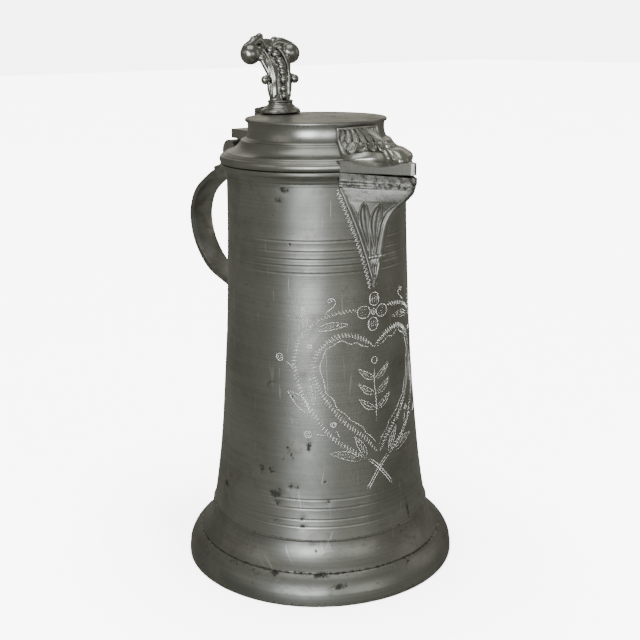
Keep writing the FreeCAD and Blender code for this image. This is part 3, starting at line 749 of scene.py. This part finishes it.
def beak_edge(z):
    """Where the flank meets the drum, or the rim band above it: (x, y)."""
    if z <= BAND_Z:
        w = beak_half_width(z)
        return math.sqrt(drum_radius(z)**2 - w * w) - 0.2, w
    r = 44.8 + 2.4 * ramp(z, BAND_Z + 0.4, BAND_Z + 4.2)
    a = math.radians(BEAK_HALF_ANGLE)
    return r * math.cos(a), r * math.sin(a)


def beak_row(z, inset=0.0):
    """Horizontal V section from one drum edge over the ridge to the other, each point's distance
    from the nearer edge, and that distance at the ridge."""
    x_edge, w = beak_edge(z)
    ridge_x = np.interp(min(z, BAND_Z), RIDGE[:, 1], RIDGE[:, 0])
    tip = ridge_x + (RIM_TIP_X - RIDGE_X[-1]) * ramp(z, BAND_Z, BAND_Z + 4.2)
    w, tip = max(w - inset, 0.3), tip - inset * 1.6
    blunt = min(1.6, 0.45 * w)
    flank, nose_run = math.hypot(tip - blunt - x_edge, w - blunt), 1.2 * blunt
    nose = arc3((tip - blunt, blunt), (tip, 0), (tip - blunt, -blunt), NOSE_POINTS)
    along = np.linspace(0, 1, (BEAK_COLUMNS - NOSE_POINTS) // 2, endpoint=False)
    run = [(x_edge + (tip - blunt - x_edge) * t, w + (blunt - w) * t) for t in along]
    points = run + nose + [(x, -y) for x, y in reversed(run)]
    half = NOSE_POINTS // 2
    to_ridge = [flank * t for t in along] + [flank + nose_run * k / half for k in range(half)]
    from_edge = to_ridge + [flank + nose_run] + to_ridge[::-1]
    return np.array(points), np.array(from_edge), flank + nose_run


def beak_relief(z, from_edge, span):
    """Cast ornament on the flanks along one level: its height in mm, its dirt and painted shade, and its
    bright wear.
    """
    inward = np.clip((span - from_edge) / max(span, 0.1), 0, 1)     # 0 at the ridge, 1 at the drum
    from_ridge = span - from_edge
    rise, grime_and_shade, rubbed = (np.zeros(len(from_edge)) for _ in range(3))
    if z < BAND_Z:
        # raised border along the drum, with dirt and painted shade beside it and beside the ridge
        low = ramp(z, 150, 156)
        rise = 0.85 * bump(from_edge, 1.25, 1.05) * low
        rubbed = 0.55 * bump(from_edge, 1.0, 0.7) * low
        grime_and_shade = np.maximum(0.62 * bell(from_edge, 2.5, 0.28) * low,
                           0.50 * bell(from_ridge, 2.5, 0.30) * ramp(z, 164, 168))
    t = (z - LEAF_FOOT_Z) / (LEAF_TOP_Z - LEAF_FOOT_Z)
    if 0 < t < 1:
        # four upright leaves, each with a rim, a vein and a sunk body
        shape = max(math.sin(math.pi * t**1.25), 0.0)**0.75
        inside = ramp(from_edge, 2.4, 3.0) * ramp(from_ridge, 2.2, 2.9)
        for k in range(4):
            off, rim = np.abs(inward - 0.07 - 0.29 * k) * span, 0.128 * shape * span
            edge, vein = bell(off, rim, 0.36), bell(off, 0, 0.34) * (shape > 0.3)
            rise += inside * (0.62 * edge + 0.40 * vein - 0.28 * (off < rim - 0.5))
            rubbed = np.maximum(rubbed, inside * 0.60 * edge)
            # dark lines just outside and just inside each leaf's rim: painted shade with dirt
            grime_and_shade = np.maximum(grime_and_shade, inside * 0.68 * bell(off, rim + 0.62, 0.24))
            grime_and_shade = np.maximum(grime_and_shade, inside * 0.60 * bell(off, rim - 0.62, 0.22))
    if abs(z - BEAD_Z) < 4:
        # row of five beads under the leaves
        for k in range(5):
            middle = 0.08 + 0.20 * k
            off = np.hypot((inward - middle) * span, z - (BEAD_Z - 2.2 * middle))
            bead = np.sqrt(np.clip(1 - off**2, 0, 1)) * ramp(from_edge, 2.0, 2.4)
            rise = np.maximum(rise, 1.1 * bead)
            rubbed = np.maximum(rubbed, 0.9 * bead)
            grime_and_shade = grime_and_shade * (bead == 0)
    # flutes below the beads, hatching above the leaves
    flutes = ramp(z, 150.5, 153) * (1 - ramp(z, 161.5, 163.2)) * ramp(from_edge, 2.4, 3.0)
    wave = np.sin(2 * np.pi * 3.2 * inward)**2
    hatched = ramp(z, 191.8, 192.6) * (1 - ramp(z, 197.0, 197.8)) * ramp(from_edge, 2.4, 3.0)
    comb = np.sin((from_edge * 0.9 + z) * np.pi / 1.15)**2
    rise += 0.45 * flutes * wave + 0.20 * hatched * comb
    # painted shade with dirt in the troughs of the flutes and of the hatching
    grime_and_shade = np.maximum(grime_and_shade, 0.66 * flutes * (1 - wave)**3)
    grime_and_shade = np.maximum(grime_and_shade, 0.74 * hatched * (1 - comb)**2)
    if z > BAND_Z:
        # the beak's own piece of the rim band: a lip over a line, and dirt with painted shade under it
        rise += 0.16 * bump(z, BAND_Z + 1.7, 0.5) - 0.10 * bump(z, BAND_Z + 2.5, 0.4)
        grime_and_shade = np.maximum(grime_and_shade, 0.55)
    return rise, grime_and_shade, rubbed


def drooped(row, z):
    """A row of plan points set at height z, lower towards the tip where it is near the rim."""
    drop = BEAK_DROP * np.clip((row[:, 0] - DRUM_TOP_R) / (RIM_TIP_X - DRUM_TOP_R), 0, 1)
    return np.column_stack([row, z - drop * ramp(z, RIM_Z - 4.5, RIM_Z)])


def make_beak():
    heights = np.concatenate([np.linspace(BEAK_APEX_Z, BAND_Z, 176), np.linspace(BAND_Z + 0.3, RIM_Z, 22)])
    outer, inner, marks = [], [], []
    for z in heights:
        points, from_edge, span = beak_row(z)
        tangent = np.gradient(points, axis=0)
        normal = np.stack([-tangent[:, 1], tangent[:, 0]], 1)
        normal /= np.maximum(np.linalg.norm(normal, axis=1, keepdims=True), 1e-9)
        rise, grime_and_shade, rubbed = beak_relief(z, from_edge, span)
        rise = rise * ramp(from_edge, 0.0, 0.6)
        outer.append(drooped(points + normal * rise[:, None], z))
        marks.append((grime_and_shade, rubbed))
        # the back lies on the drum, and higher up it is the hollow of the channel
        if z < CHANNEL_Z:
            y = points[:, 1] * 0.9
            x = np.sqrt(drum_radius(z)**2 - y**2) - 0.9
            inner.append(np.column_stack([x, y, np.full(len(y), z)]))
        else:
            hollow = beak_row(z, BEAK_WALL)[0]
            back = np.sqrt(np.clip(DRUM_TOP_R**2 - hollow[:, 1]**2, 0, None)) - 0.9
            hollow[:, 0] = np.maximum(hollow[:, 0], back)
            inner.append(drooped(hollow, z))
    grime_and_shade, rubbed = np.swapaxes(marks, 0, 1)
    return wall("beak_casting", outer, inner, BEAK_PEWTER, 42, {"stain": grime_and_shade, "rubbed": rubbed})


finish_piece(make_beak(), "vessel", "pewter_beak", "pouring_beak")


# ---- handle strap -------------------------------------------------------------------------
STRAP_HALF_W = 6.6
# the two sides of the strap in the symmetry plane: distance from the axis, height
STRAP_OUTER = ((-40, 194.6), (-60, 196.3), (-77.4, 196.0), (-87.9, 193.0), (-96.3, 188.9),
               (-109.6, 180.2), (-116.3, 169.1), (-116.9, 158.8), (-112.2, 147.0),
               (-99.1, 135.2), (-80, 129.3), (-60, 124.2), (-44, 117.5))
STRAP_INNER = ((-40, 186.5), (-60, 190.6), (-77.0, 191.6), (-86.4, 189.4), (-95.0, 185.6),
               (-107.2, 177.6), (-112.8, 168.2), (-113.4, 159.4), (-108.9, 148.8), (-97.4, 138.6),
               (-80, 132.9), (-60, 128.4), (-44, 123.5))
# section: part of the half width, part of the way from the outer side to the inner one
STRAP_SECTION = ((-1.0, 0.18), (-0.985, 0.06), (-0.94, 0.0), (-0.88, 0.0), (-0.83, 0.10), (-0.78, 0.13),
                 (-0.5, 0.07), (0.0, 0.02), (0.5, 0.07), (0.78, 0.13), (0.83, 0.10), (0.88, 0.0),
                 (0.94, 0.0), (0.985, 0.06), (1.0, 0.18), (1.0, 0.82), (0.97, 0.95), (0.9, 1.0),
                 (0.0, 0.97), (-0.9, 1.0), (-0.97, 0.95), (-1.0, 0.82))


def make_strap():
    """Flat strap with a softly dished back between two raised edge lines."""
    rows, points, sections = 150, [], 0
    for outer, inner in zip(smooth_path(STRAP_OUTER, rows), smooth_path(STRAP_INNER, rows)):
        if outer[0] >= -43.0 and outer[1] >= 150:
            continue                    # this stretch would be inside the drum
        sections += 1
        for across, depth in STRAP_SECTION:
            x, z = outer * (1 - depth) + inner * depth
            y = across * STRAP_HALF_W
            points.append((x + 0.12 * ripple(x, y, z, 14), y, z))
    faces = tube_faces(sections, len(STRAP_SECTION))
    return mesh_object("handle_band", points, faces, HANDLE_PEWTER, 35)


finish_piece(make_strap(), "vessel", "pewter_handle", "handle_strap")


# ---- lid ----------------------------------------------------------------------------------
LID_Z, LID_TOP_Z = 205.55, 226.5
DISC_Z = LID_TOP_Z - 1.6


def lid_profile():
    """Outline of the lid's flange, cove and neck, and of its hollow: (radius, height)."""
    outer = [(46.4, LID_Z), (46.9, 205.7)]
    outer += arc3((47.1, 205.9), (47.5, 207.4), (47.0, 208.9), 9)
    outer += [(46.6, 209.25), (46.1, 209.35), (45.9, 209.6), (45.2, 210.15), (44.6, 210.45), (44.3, 210.75)]
    outer += arc3((44.2, 210.85), (39.6, 212.8), (36.9, 216.0), 16)
    outer += [(36.6, 216.35), (36.0, 216.5), (35.6, 216.55), (35.2, 216.9), (34.8, 217.3)]
    outer += arc3((34.3, 217.6), (33.3, 221.2), (33.6, 224.9), 12)
    inner = [(31.3, 224.9), (31.3, 217.0)]
    inner += arc3((31.3, 217.0), (35.8, 211.6), (42.4, 208.6), 10)[1:]
    return outer + inner + [(42.4, LID_Z)]


def disc_profile():
    """Flat top of the lid, faintly sunk, with a rounded lip and one turned line: (radius, height)."""
    lip = [(0, DISC_Z), (33.9, DISC_Z), (34.4, DISC_Z + 0.15), (34.6, DISC_Z + 0.5), (34.6, DISC_Z + 1.05),
           (34.45, DISC_Z + 1.4), (34.1, LID_TOP_Z), (33.2, LID_TOP_Z), (32.6, LID_TOP_Z - 0.12)]
    flat = [(31.6, LID_TOP_Z - 0.14), (31.35, LID_TOP_Z - 0.30), (31.1, LID_TOP_Z - 0.15)]
    flat += [(r, LID_TOP_Z - 0.15 - 0.12 * math.cos(r / 31 * math.pi / 2)) for r in np.linspace(30, 0, 22)]
    return lip + flat


lid_dome = turned("lid_dome", lid_profile(), 300, LID_PEWTER, 34, 0.10)
finish_piece(lid_dome, "lid", "pewter_lid", "lid_shell")
lid_top = turned("lid_top_plate", disc_profile(), 240, DISC_PEWTER, 34, 0.06)
finish_piece(lid_top, "lid", "pewter_lid", "lid_disc")


# ---- leaf cover on the lid ----------------------------------------------------------------
PLATE_TOP_Z, NECK_R, COVER_ANGLE = 210.6, 34.2, 20.5
# ridge of the cover in the symmetry plane: distance from the axis, height
COVER_RIDGE = ((34.2, 223.9), (37.0, 222.6), (41.0, 221.2), (45.0, 219.6), (49.0, 217.9), (52.5, 216.9),
               (56.0, 216.5), (59.5, 216.3), (62.5, 215.6), (65.0, 214.0), (66.6, 212.2), (67.0, 210.7))
# how the two side edges fall along the lid: part of the way out, height
COVER_SIDE = ((0.0, 223.9), (0.03, 222.0), (0.10, 218.6), (0.24, 216.2), (0.45, 213.6), (0.72, 211.6),
              (1.0, 210.7))
# lower border in plan, from the middle of the nose to one side edge
COVER_BORDER = ((67.0, 0.0), (66.9, 1.6), (65.8, 3.0), (62.8, 3.6), (59.5, 4.4), (56.0, 5.6), (53.0, 7.4),
                (50.5, 9.8), (48.4, 12.2), (46.0, 14.4), (42.6, 15.4))
# first and last part of the way down, lobes per side, lean, height
LOBE_ROWS = ((0.04, 0.52, 6.0, -1.0, 1.25), (0.40, 0.88, 6.0, -1.5, 1.35))


def lobe_row(u, v, first, last, count, lean, tall):
    """One row of tongue-shaped lobes, rounded at the bottom: height and closeness to a lobe's rim."""
    t = (v - first) / (last - first)
    if not 0 < t < 1:
        return 0.0, 0.0
    off = abs((u * count + lean * t) % 1.0 - 0.5) * 2
    width = min(1.0, (t / 0.25)**0.7)
    if t > 0.62:
        width *= math.sqrt(max(0.0, 1 - ((t - 0.62) / 0.38)**2))
    if off >= width * 0.94:
        return 0.0, 0.0
    rim = bell(off, width * 0.94, 0.22)
    if t > 0.85:
        rim = max(rim, 0.9)
    crown = 0.50 + 0.50 * bell(off, width * 0.80, 0.30) + 0.25 * bell(off, 0, 0.16)
    return tall * min(1.0, 0.4 + t) * crown * min(1.0, (width - off) / 0.12), rim


def cover_relief(u, v):
    """Cast ornament on the cover: height in mm, dirt with painted shade, and wear. Across, u is 0 in the
    middle and 1 at the side; v is 0 at the neck and 1 at the lower border."""
    border = bump(u, 0.945, 0.055) * (1 - ramp(v, 0.80, 0.92))
    top = bump(v, 0.014, 0.020)
    rise = max(0.75 * border, 0.70 * top)
    rubbed, grime_and_shade = 0.6 * max(border, top), 0.0
    on_nose = ramp(v, 0.62, 0.72) * (1 - ramp(u, 0.26, 0.34)) > 0.5
    if u < 0.87 and 0.03 < v < 0.90 and not on_nose:
        height, rim = max(lobe_row(u, v, *row) for row in LOBE_ROWS)
        rise = max(rise, height)
        rubbed = max(rubbed, 0.75 * rim)
        # the sunk ground between the lobes is darkened: painted shade with dirt
        grime_and_shade = 0.0 if height else 0.85
    for at in (0.20, 0.31):
        line = ramp(v, 0.60, 0.72) * bell(u, at, 0.030)
        rise = max(rise, 0.7 * line)
        rubbed = max(rubbed, 0.7 * line)
    if on_nose:
        # a dark line between the two raised lines on the nose: painted shade with dirt
        grime_and_shade = max(grime_and_shade, 0.8 * bell(u, 0.255, 0.016))
    return rise, grime_and_shade, rubbed


def both_sides(half, flip=1):
    """A grid and its mirror image, which share the middle column."""
    other = half[:, :0:-1].copy()
    other[..., 1:2] *= flip
    return np.concatenate([other, half], axis=1)


def make_cover():
    us, vs, even = np.linspace(0, 1, 84), np.linspace(0, 1, 170), np.linspace(0, 1, 300)
    border = smooth_path(COVER_BORDER, 240)
    ridge, side = smooth_path(COVER_RIDGE, 300), smooth_path(COVER_SIDE, 300)
    ridge_out = (ridge[:, 0] - ridge[0, 0]) / (ridge[-1, 0] - ridge[0, 0])
    base = np.zeros((len(vs), len(us), 3))
    for j, u in enumerate(us):
        a = math.radians(COVER_ANGLE * u)
        start = NECK_R * np.array([math.cos(a), math.sin(a)])
        end = np.array([np.interp(u, np.linspace(0, 1, 240), border[:, k]) for k in (0, 1)])
        # the ridge's shape in the middle passes into the side edge's
        middle = 1 - u**2.4
        out = np.interp(vs, even, ridge_out) * middle + np.interp(vs, even, side[:, 0]) * (1 - middle)
        base[:, j, :2] = start + (end - start) * out[:, None]
        base[:, j, 2] = (np.interp(out, ridge_out, ridge[:, 1]) * middle
                         + np.interp(out, side[:, 0], side[:, 1]) * (1 - middle))
    normal = np.cross(np.gradient(base, axis=0), np.gradient(base, axis=1))
    normal /= np.maximum(np.linalg.norm(normal, axis=2, keepdims=True), 1e-9)
    rise, grime_and_shade, rubbed = np.moveaxis([[cover_relief(u, v) for u in us] for v in vs], 2, 0)
    fade = ramp(1 - vs, 0.0, 0.03)[:, None] * ramp(1 - us, 0.0, 0.02)[None, :]
    top = base + normal * (rise * fade)[:, :, None]
    top[:, 0, 1] = 0
    x, y, z = np.moveaxis(base, 2, 0)
    below_z = np.minimum(z - 1.4, np.maximum(z - 3.0, PLATE_TOP_Z - 1.4))
    below_z[-1] = PLATE_TOP_Z - 1.2
    below = np.stack([x * 0.985 - 0.5, y * 0.95, below_z], 2)
    marks = {"stain": both_sides(grime_and_shade), "rubbed": both_sides(rubbed)}
    return wall("leaf_cover_relief", both_sides(top, -1), both_sides(below, -1), COVER_PEWTER, 60, marks)


finish_piece(make_cover(), "lid", "pewter_lid_beak", "beak_leaf_cover")


# ---- thumbpiece ---------------------------------------------------------------------------
# height, distance from the axis, half depth and half width along the stem
STEM = ((232.6, -31.0, 4.2, 6.0), (235.0, -31.0, 3.4, 5.8), (238.0, -31.2, 3.1, 5.6),
        (243.0, -31.3, 3.0, 5.9), (247.0, -32.3, 3.0, 6.3), (250.5, -34.3, 3.0, 6.8),
        (253.0, -37.2, 2.8, 6.8), (254.8, -41.0, 2.4, 6.0), (255.6, -43.6, 2.2, 4.4))
# height, distance from the axis and radius of each bead, which BEAD_GROWTH then enlarges
BEADS = ((234.9, -28.0, 1.5), (238.3, -28.6, 1.8), (242.8, -28.4, 1.75), (246.2, -29.2, 1.6),
         (249.1, -30.0, 1.6), (251.8, -31.5, 1.9), (255.0, -35.0, 2.1), (256.9, -39.8, 2.1))
BEAD_GROWTH = 1.14
# rim beside the bead row: distance from the axis, distance from the middle, height
RIM_LINE = ((-28.4, 4.0, 235.5), (-28.7, 4.1, 240.0), (-28.6, 4.3, 244.0), (-29.4, 4.5, 248.0),
            (-31.7, 4.8, 252.0), (-35.6, 4.9, 256.0), (-40.0, 4.4, 258.9), (-43.4, 2.6, 259.5),
            (-44.6, 0.0, 259.2))


def ball(bm, centre, radii, detail=16):
    """Ellipsoid with one radius, or one for each axis."""
    made = bmesh.ops.create_uvsphere(bm, u_segments=detail * 2, v_segments=detail, radius=1)
    stretch = Vector([float(r) for r in np.broadcast_to(radii, 3)])
    for v in made["verts"]:
        v.co = Vector(centre) + v.co * stretch


def rope(bm, path, radii, sides=12):
    """Round bar along a path with a radius at each point; its ends are closed."""
    path = [Vector(p) for p in path]
    rings = []
    for k, centre in enumerate(path):
        ahead = (path[min(k + 1, len(path) - 1)] - path[max(k - 1, 0)]).normalized()
        across = ahead.cross(Vector((0.31, 0.17, 0.93))).normalized()
        up = ahead.cross(across)
        ring = []
        for j in range(sides):
            t = 2 * math.pi * j / sides
            ring.append(bm.verts.new(centre + (across * math.cos(t) + up * math.sin(t)) * radii[k]))
        rings.append(ring)
    for a, b in zip(rings[:-1], rings[1:]):
        for j in range(sides):
            bm.faces.new((a[j], a[(j + 1) % sides], b[(j + 1) % sides], b[j]))
    bm.faces.new(list(reversed(rings[0])))
    bm.faces.new(rings[-1])


def fused(name, build, voxel, material, smooth_steps):
    """Overlapping forms melted into one casting."""
    bm = bmesh.new()
    build(bm)
    bmesh.ops.recalc_face_normals(bm, faces=bm.faces)
    mesh = bpy.data.meshes.new(name)
    for v in bm.verts:
        v.co *= MM
    bm.to_mesh(mesh)
    bm.free()
    obj = bpy.data.objects.new(name, mesh)
    bpy.context.scene.collection.objects.link(obj)
    remesh = obj.modifiers.new("melt", "REMESH")
    remesh.mode, remesh.voxel_size = "VOXEL", voxel * MM
    soften = obj.modifiers.new("soften", "SMOOTH")
    soften.iterations, soften.factor = smooth_steps, 0.5
    depsgraph = bpy.context.evaluated_depsgraph_get()
    final = bpy.data.meshes.new_from_object(obj.evaluated_get(depsgraph))
    obj.modifiers.clear()
    obj.data = final
    final.polygons.foreach_set("use_smooth", [True] * len(final.polygons))
    final.materials.clear()
    final.materials.append(material)
    return obj


def thumb_forms(bm):
    """Broad stem leaning back, a bead row between two rims, and two arms rolled outwards."""
    for z, x, depth, width in smooth_path(STEM, 34):
        ball(bm, (x, 0, z), (depth, width, depth), 12)
    for z, x, size in BEADS:
        ball(bm, (x + 0.9, 0, z + 0.5), size * BEAD_GROWTH)
    ball(bm, (-42.8, 0, 259.8), (3.0, 6.2, 3.6))
    half = smooth_path(RIM_LINE, 40)
    loop = [*half, *(half[-2::-1] * (1, -1, 1))]
    rope(bm, [(x - 0.1, y, z + 0.2) for x, y, z in loop], [0.78] * len(loop), 10)
    rope(bm, [(x - 1.0, y * 1.14, z - 1.0) for x, y, z in loop], [1.2] * len(loop), 10)
    for part in (loop[3:34], loop[-34:-3]):
        rope(bm, [(x - 1.6, y * 1.30, z - 0.6) for x, y, z in part], [0.75] * len(part), 10)
    for side, lift in ((-1, 1.2), (1, 0.0)):
        def p(*path):
            return [(x, side * y, z) for x, y, z in path]

        # fork arm arching over to the volute, with a peaked crest
        arm = p((-42.6, 2.6, 256.0), (-42.4, 3.6, 260.0 + lift), (-41.6, 6.6, 261.4 + lift),
                (-40.6, 10.2, 260.6), (-39.6, 14.0, 258.8), (-39.0, 16.0, 255.8))
        rope(bm, smooth_path(arm, 30), [2.7 - 0.8 * (k / 29)**2 for k in range(30)], 18)
        ball(bm, *p((-41.8, 4.4, 262.6 + 1.5 * lift)), (1.7, 2.0, 1.8), 12)
        ball(bm, *p((-41.0, 8.6, 262.3 + 0.8 * lift)), (1.6, 1.8, 1.4), 12)
        ball(bm, *p((-38.8, 12.0, 255.9)), (5.0, 5.2, 5.2), 24)
        ball(bm, *p((-39.6, 6.4, 257.4)), 2.6, 14)
        # curled leaf edge beside the bead row
        leaf = p((-31.6, 5.6, 246.5), (-33.4, 6.9, 250.4), (-35.3, 7.6, 253.6))
        rope(bm, smooth_path(leaf, 12), [1.5] * 12)
        ball(bm, *p((-35.2, 7.7, 253.8)), 2.0, 14)
        # round scroll half way up, growing from the foot of the stem
        ball(bm, *p((-30.4, 8.9, 243.4)), (2.1, 2.3, 2.3))
        rope(bm, p((-30.9, 4.8, 245.2), (-30.8, 6.6, 245.2), (-30.6, 8.2, 244.6)), [1.3] * 3)
        rope(bm, p((-31.0, 5.0, 235.0), (-31.0, 6.0, 238.4), (-31.0, 6.2, 241.6)), [1.3] * 3)


# height, half length, half width and half thickness of each rounded step of the plinth
PLINTH_STEPS = ((227.3, 8.6, 11.2, 1.2), (228.4, 8.3, 10.8, 1.0), (229.2, 7.3, 9.6, 0.8),
                (230.0, 6.4, 8.3, 0.8), (230.8, 5.8, 7.2, 0.8), (231.6, 5.4, 6.6, 0.8), (232.7, 5.9, 7.0, 1.2))


def plinth_forms(bm):
    """Collar on a hollow-sided oval cone with a thick foot, running back into a square-ended tail."""
    for z, half_len, half_w, thick in PLINTH_STEPS:
        ball(bm, (-30.6, 0, z), (half_len, half_w, thick), 26)
    corners = [(x, y, z) for x, half_w, high in ((-33.0, 6.0, 230.8), (-46.6, 5.6, 228.6))
               for y in (-half_w, half_w) for z in (226.4, high)]
    tail = [bm.verts.new(corner) for corner in corners]
    for face in ((0, 1, 3, 2), (4, 6, 7, 5), (0, 4, 5, 1), (2, 3, 7, 6), (1, 5, 7, 3), (0, 2, 6, 4)):
        bm.faces.new([tail[k] for k in face])


thumb = fused("thumbpiece_casting", thumb_forms, 0.25, THUMB_PEWTER, 3)
finish_piece(thumb, "lid", "pewter_thumb", "thumbpiece")
plinth = fused("thumb_plinth_casting", plinth_forms, 0.34, THUMB_PEWTER, 4)
finish_piece(plinth, "lid", "pewter_thumb", "thumb_plinth")


# ---- CAD pieces kept as they are, with softened edges and the same metal ------------------
KEPT = {"hinge_bracket": (HANDLE_PEWTER, 0.45), "lid_arm": (HANDLE_PEWTER, 0.45),
        "hinge_pin": (PIN_METAL, 0.15), "floor_disc": (INSIDE_PEWTER, 0.2),
        "floor_plug": (INSIDE_PEWTER, 0.2), "beak_plate": (RIM_PEWTER, 0.35)}
for name, (material, width) in KEPT.items():
    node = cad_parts[name]
    if not node.material_slots:
        node.data.materials.append(material)
    for slot in node.material_slots:
        slot.material = material
    bevel = node.modifiers.new("soft_edges", "BEVEL")
    bevel.width, bevel.segments, bevel.limit_method = width * MM, 2, "ANGLE"
    bevel.angle_limit = math.radians(35)
    bevel.harden_normals = False


# ---- floor, light and camera --------------------------------------------------------------
FLOOR_HALF, FLOOR_DEPTH = 6.0, 0.02     # metres each way, and millimetres below the object


def make_floor():
    ends = (-FLOOR_HALF / MM, FLOOR_HALF / MM)
    points = [(x, y, -FLOOR_DEPTH) for y in ends for x in ends]
    material = bpy.data.materials.new("pale_floor")
    n = Nodes(material)
    place = n.add("ShaderNodeTexCoord").outputs["Object"]
    colour = n.mix(n.noise(place, 3.0), (0.80, 0.80, 0.80), (0.84, 0.84, 0.84))
    shader = n.add("ShaderNodeBsdfPrincipled", {"Base Color": colour, "Roughness": 0.85})
    n.add("ShaderNodeOutputMaterial", {"Surface": shader.outputs[0]})
    return mesh_object("studio_floor", points, [(0, 1, 3, 2)], material)


FLOOR = make_floor()
FLOOR.visible_glossy = False


def make_world():
    """White behind the object, and a dim warm room all round it."""
    world = bpy.data.worlds.new("soft_studio")
    bpy.context.scene.world = world
    n = Nodes(world)
    seen = n.add("ShaderNodeBackground", {"Color": (1, 1, 1, 1), "Strength": 6.0})
    room = n.add("ShaderNodeBackground", {"Color": (0.97, 0.96, 0.82, 1), "Strength": 0.205})
    direct = n.add("ShaderNodeLightPath").outputs["Is Camera Ray"]
    mixed = n.add("ShaderNodeMixShader", {"Fac": direct, 1: room.outputs[0], 2: seen.outputs[0]})
    n.add("ShaderNodeOutputWorld", {"Surface": mixed.outputs[0]})


make_world()

CAMERA_ANGLE = -36.0            # direction of the camera from the axis, in degrees from +X
MIDDLE = (0, 0, 0.12)
# soft panels, in metres and watts: name, direction measured from the camera's, distance, height,
# size, power, colour, the place it faces, and the only piece it lights, if there is one
LAMPS = (("window_light", -12, 1.6, 0.34, (0.76, 0.66), 11.5, (0.95, 0.99, 1.0), MIDDLE, None),
         ("right_fill", 34, 1.7, 0.40, (0.9, 0.7), 2.2, (1.0, 0.99, 0.94), MIDDLE, None),
         ("ceiling_light", 0, 0.25, 1.8, (1.3, 1.3), 7.0, (0.99, 0.99, 0.96), MIDDLE, None),
         ("back_wall_light", 180, 1.7, 0.85, (1.8, 0.9), 2.8, (1.0, 0.93, 0.80), MIDDLE, None),
         ("left_fill", -62, 1.7, 0.9, (0.7, 0.9), 0.9, (1.0, 0.96, 0.88), MIDDLE, None),
         ("right_edge_light", 100, 1.6, 0.6, (0.5, 0.9), 0.8, (1.0, 0.93, 0.82), MIDDLE, None),
         ("beak_glow", -45, 0.26, 0.01, (0.20, 0.16), 0.26, (0.98, 0.99, 1.0), (0.06, -0.005, 0.185),
          "beak_casting"),
         ("neck_light", 16, 1.6, 0.40, (0.36, 0.60), 4.0, (0.95, 0.99, 1.0), MIDDLE, "lid_dome"),
         ("thumb_light", -30, 1.2, 0.75, (0.30, 0.30), 3.0, (0.97, 0.99, 1.0), (-0.033, 0, 0.245),
          "thumbpiece_casting"))


def add_lamp(data, place, piece=None):
    """Hang a lamp in the scene, to fall on everything or on one piece alone."""
    lamp = bpy.data.objects.new(data.name, data)
    lamp.location = place
    bpy.context.scene.collection.objects.link(lamp)
    if piece:
        group = bpy.data.collections.new("lit_by_" + lamp.name)
        group.objects.link(piece)
        lamp.light_linking.receiver_collection = group
    return lamp


for name, angle, distance, height, size, power, colour, aim, only in LAMPS:
    panel = bpy.data.lights.new(name, "AREA")
    panel.shape, panel.size, panel.size_y = "RECTANGLE", size[0], size[1]
    panel.energy, panel.color = power, colour
    a = math.radians(CAMERA_ANGLE + angle)
    place = (distance * math.cos(a), distance * math.sin(a), height)
    lamp = add_lamp(panel, place, bpy.data.objects[only] if only else None)
    lamp.visible_camera = False
    lamp.rotation_euler = (Vector(aim) - lamp.location).to_track_quat("-Z", "Y").to_euler()

sun = bpy.data.lights.new("floor_light", "SUN")
sun.energy, sun.angle = 30.0, 0.9
add_lamp(sun, (0, 0, 2), FLOOR)


def make_camera():
    """The photograph's viewpoint, found by fitting the rings of the object."""
    data = bpy.data.cameras.new("photo_camera")
    data.lens, data.sensor_width, data.sensor_fit = 59.96, 36.0, "HORIZONTAL"
    data.shift_x = 0.003
    data.clip_start, data.clip_end = 0.01, 20
    camera = bpy.data.objects.new("photo_camera", data)
    camera.location = (0.4262, -0.3096, 0.2689)
    heading, pitch, roll = (math.radians(a) for a in (CAMERA_ANGLE, 15.39, -0.59))
    level = -math.cos(pitch)
    ahead = Vector((math.cos(heading) * level, math.sin(heading) * level, -math.sin(pitch)))
    look = ahead.to_track_quat("-Z", "Y").to_matrix().to_4x4()
    camera.rotation_euler = (look @ Matrix.Rotation(roll, 4, "Z")).to_euler()
    bpy.context.scene.collection.objects.link(camera)
    bpy.context.scene.camera = camera


make_camera()

bpy.context.view_layer.update()
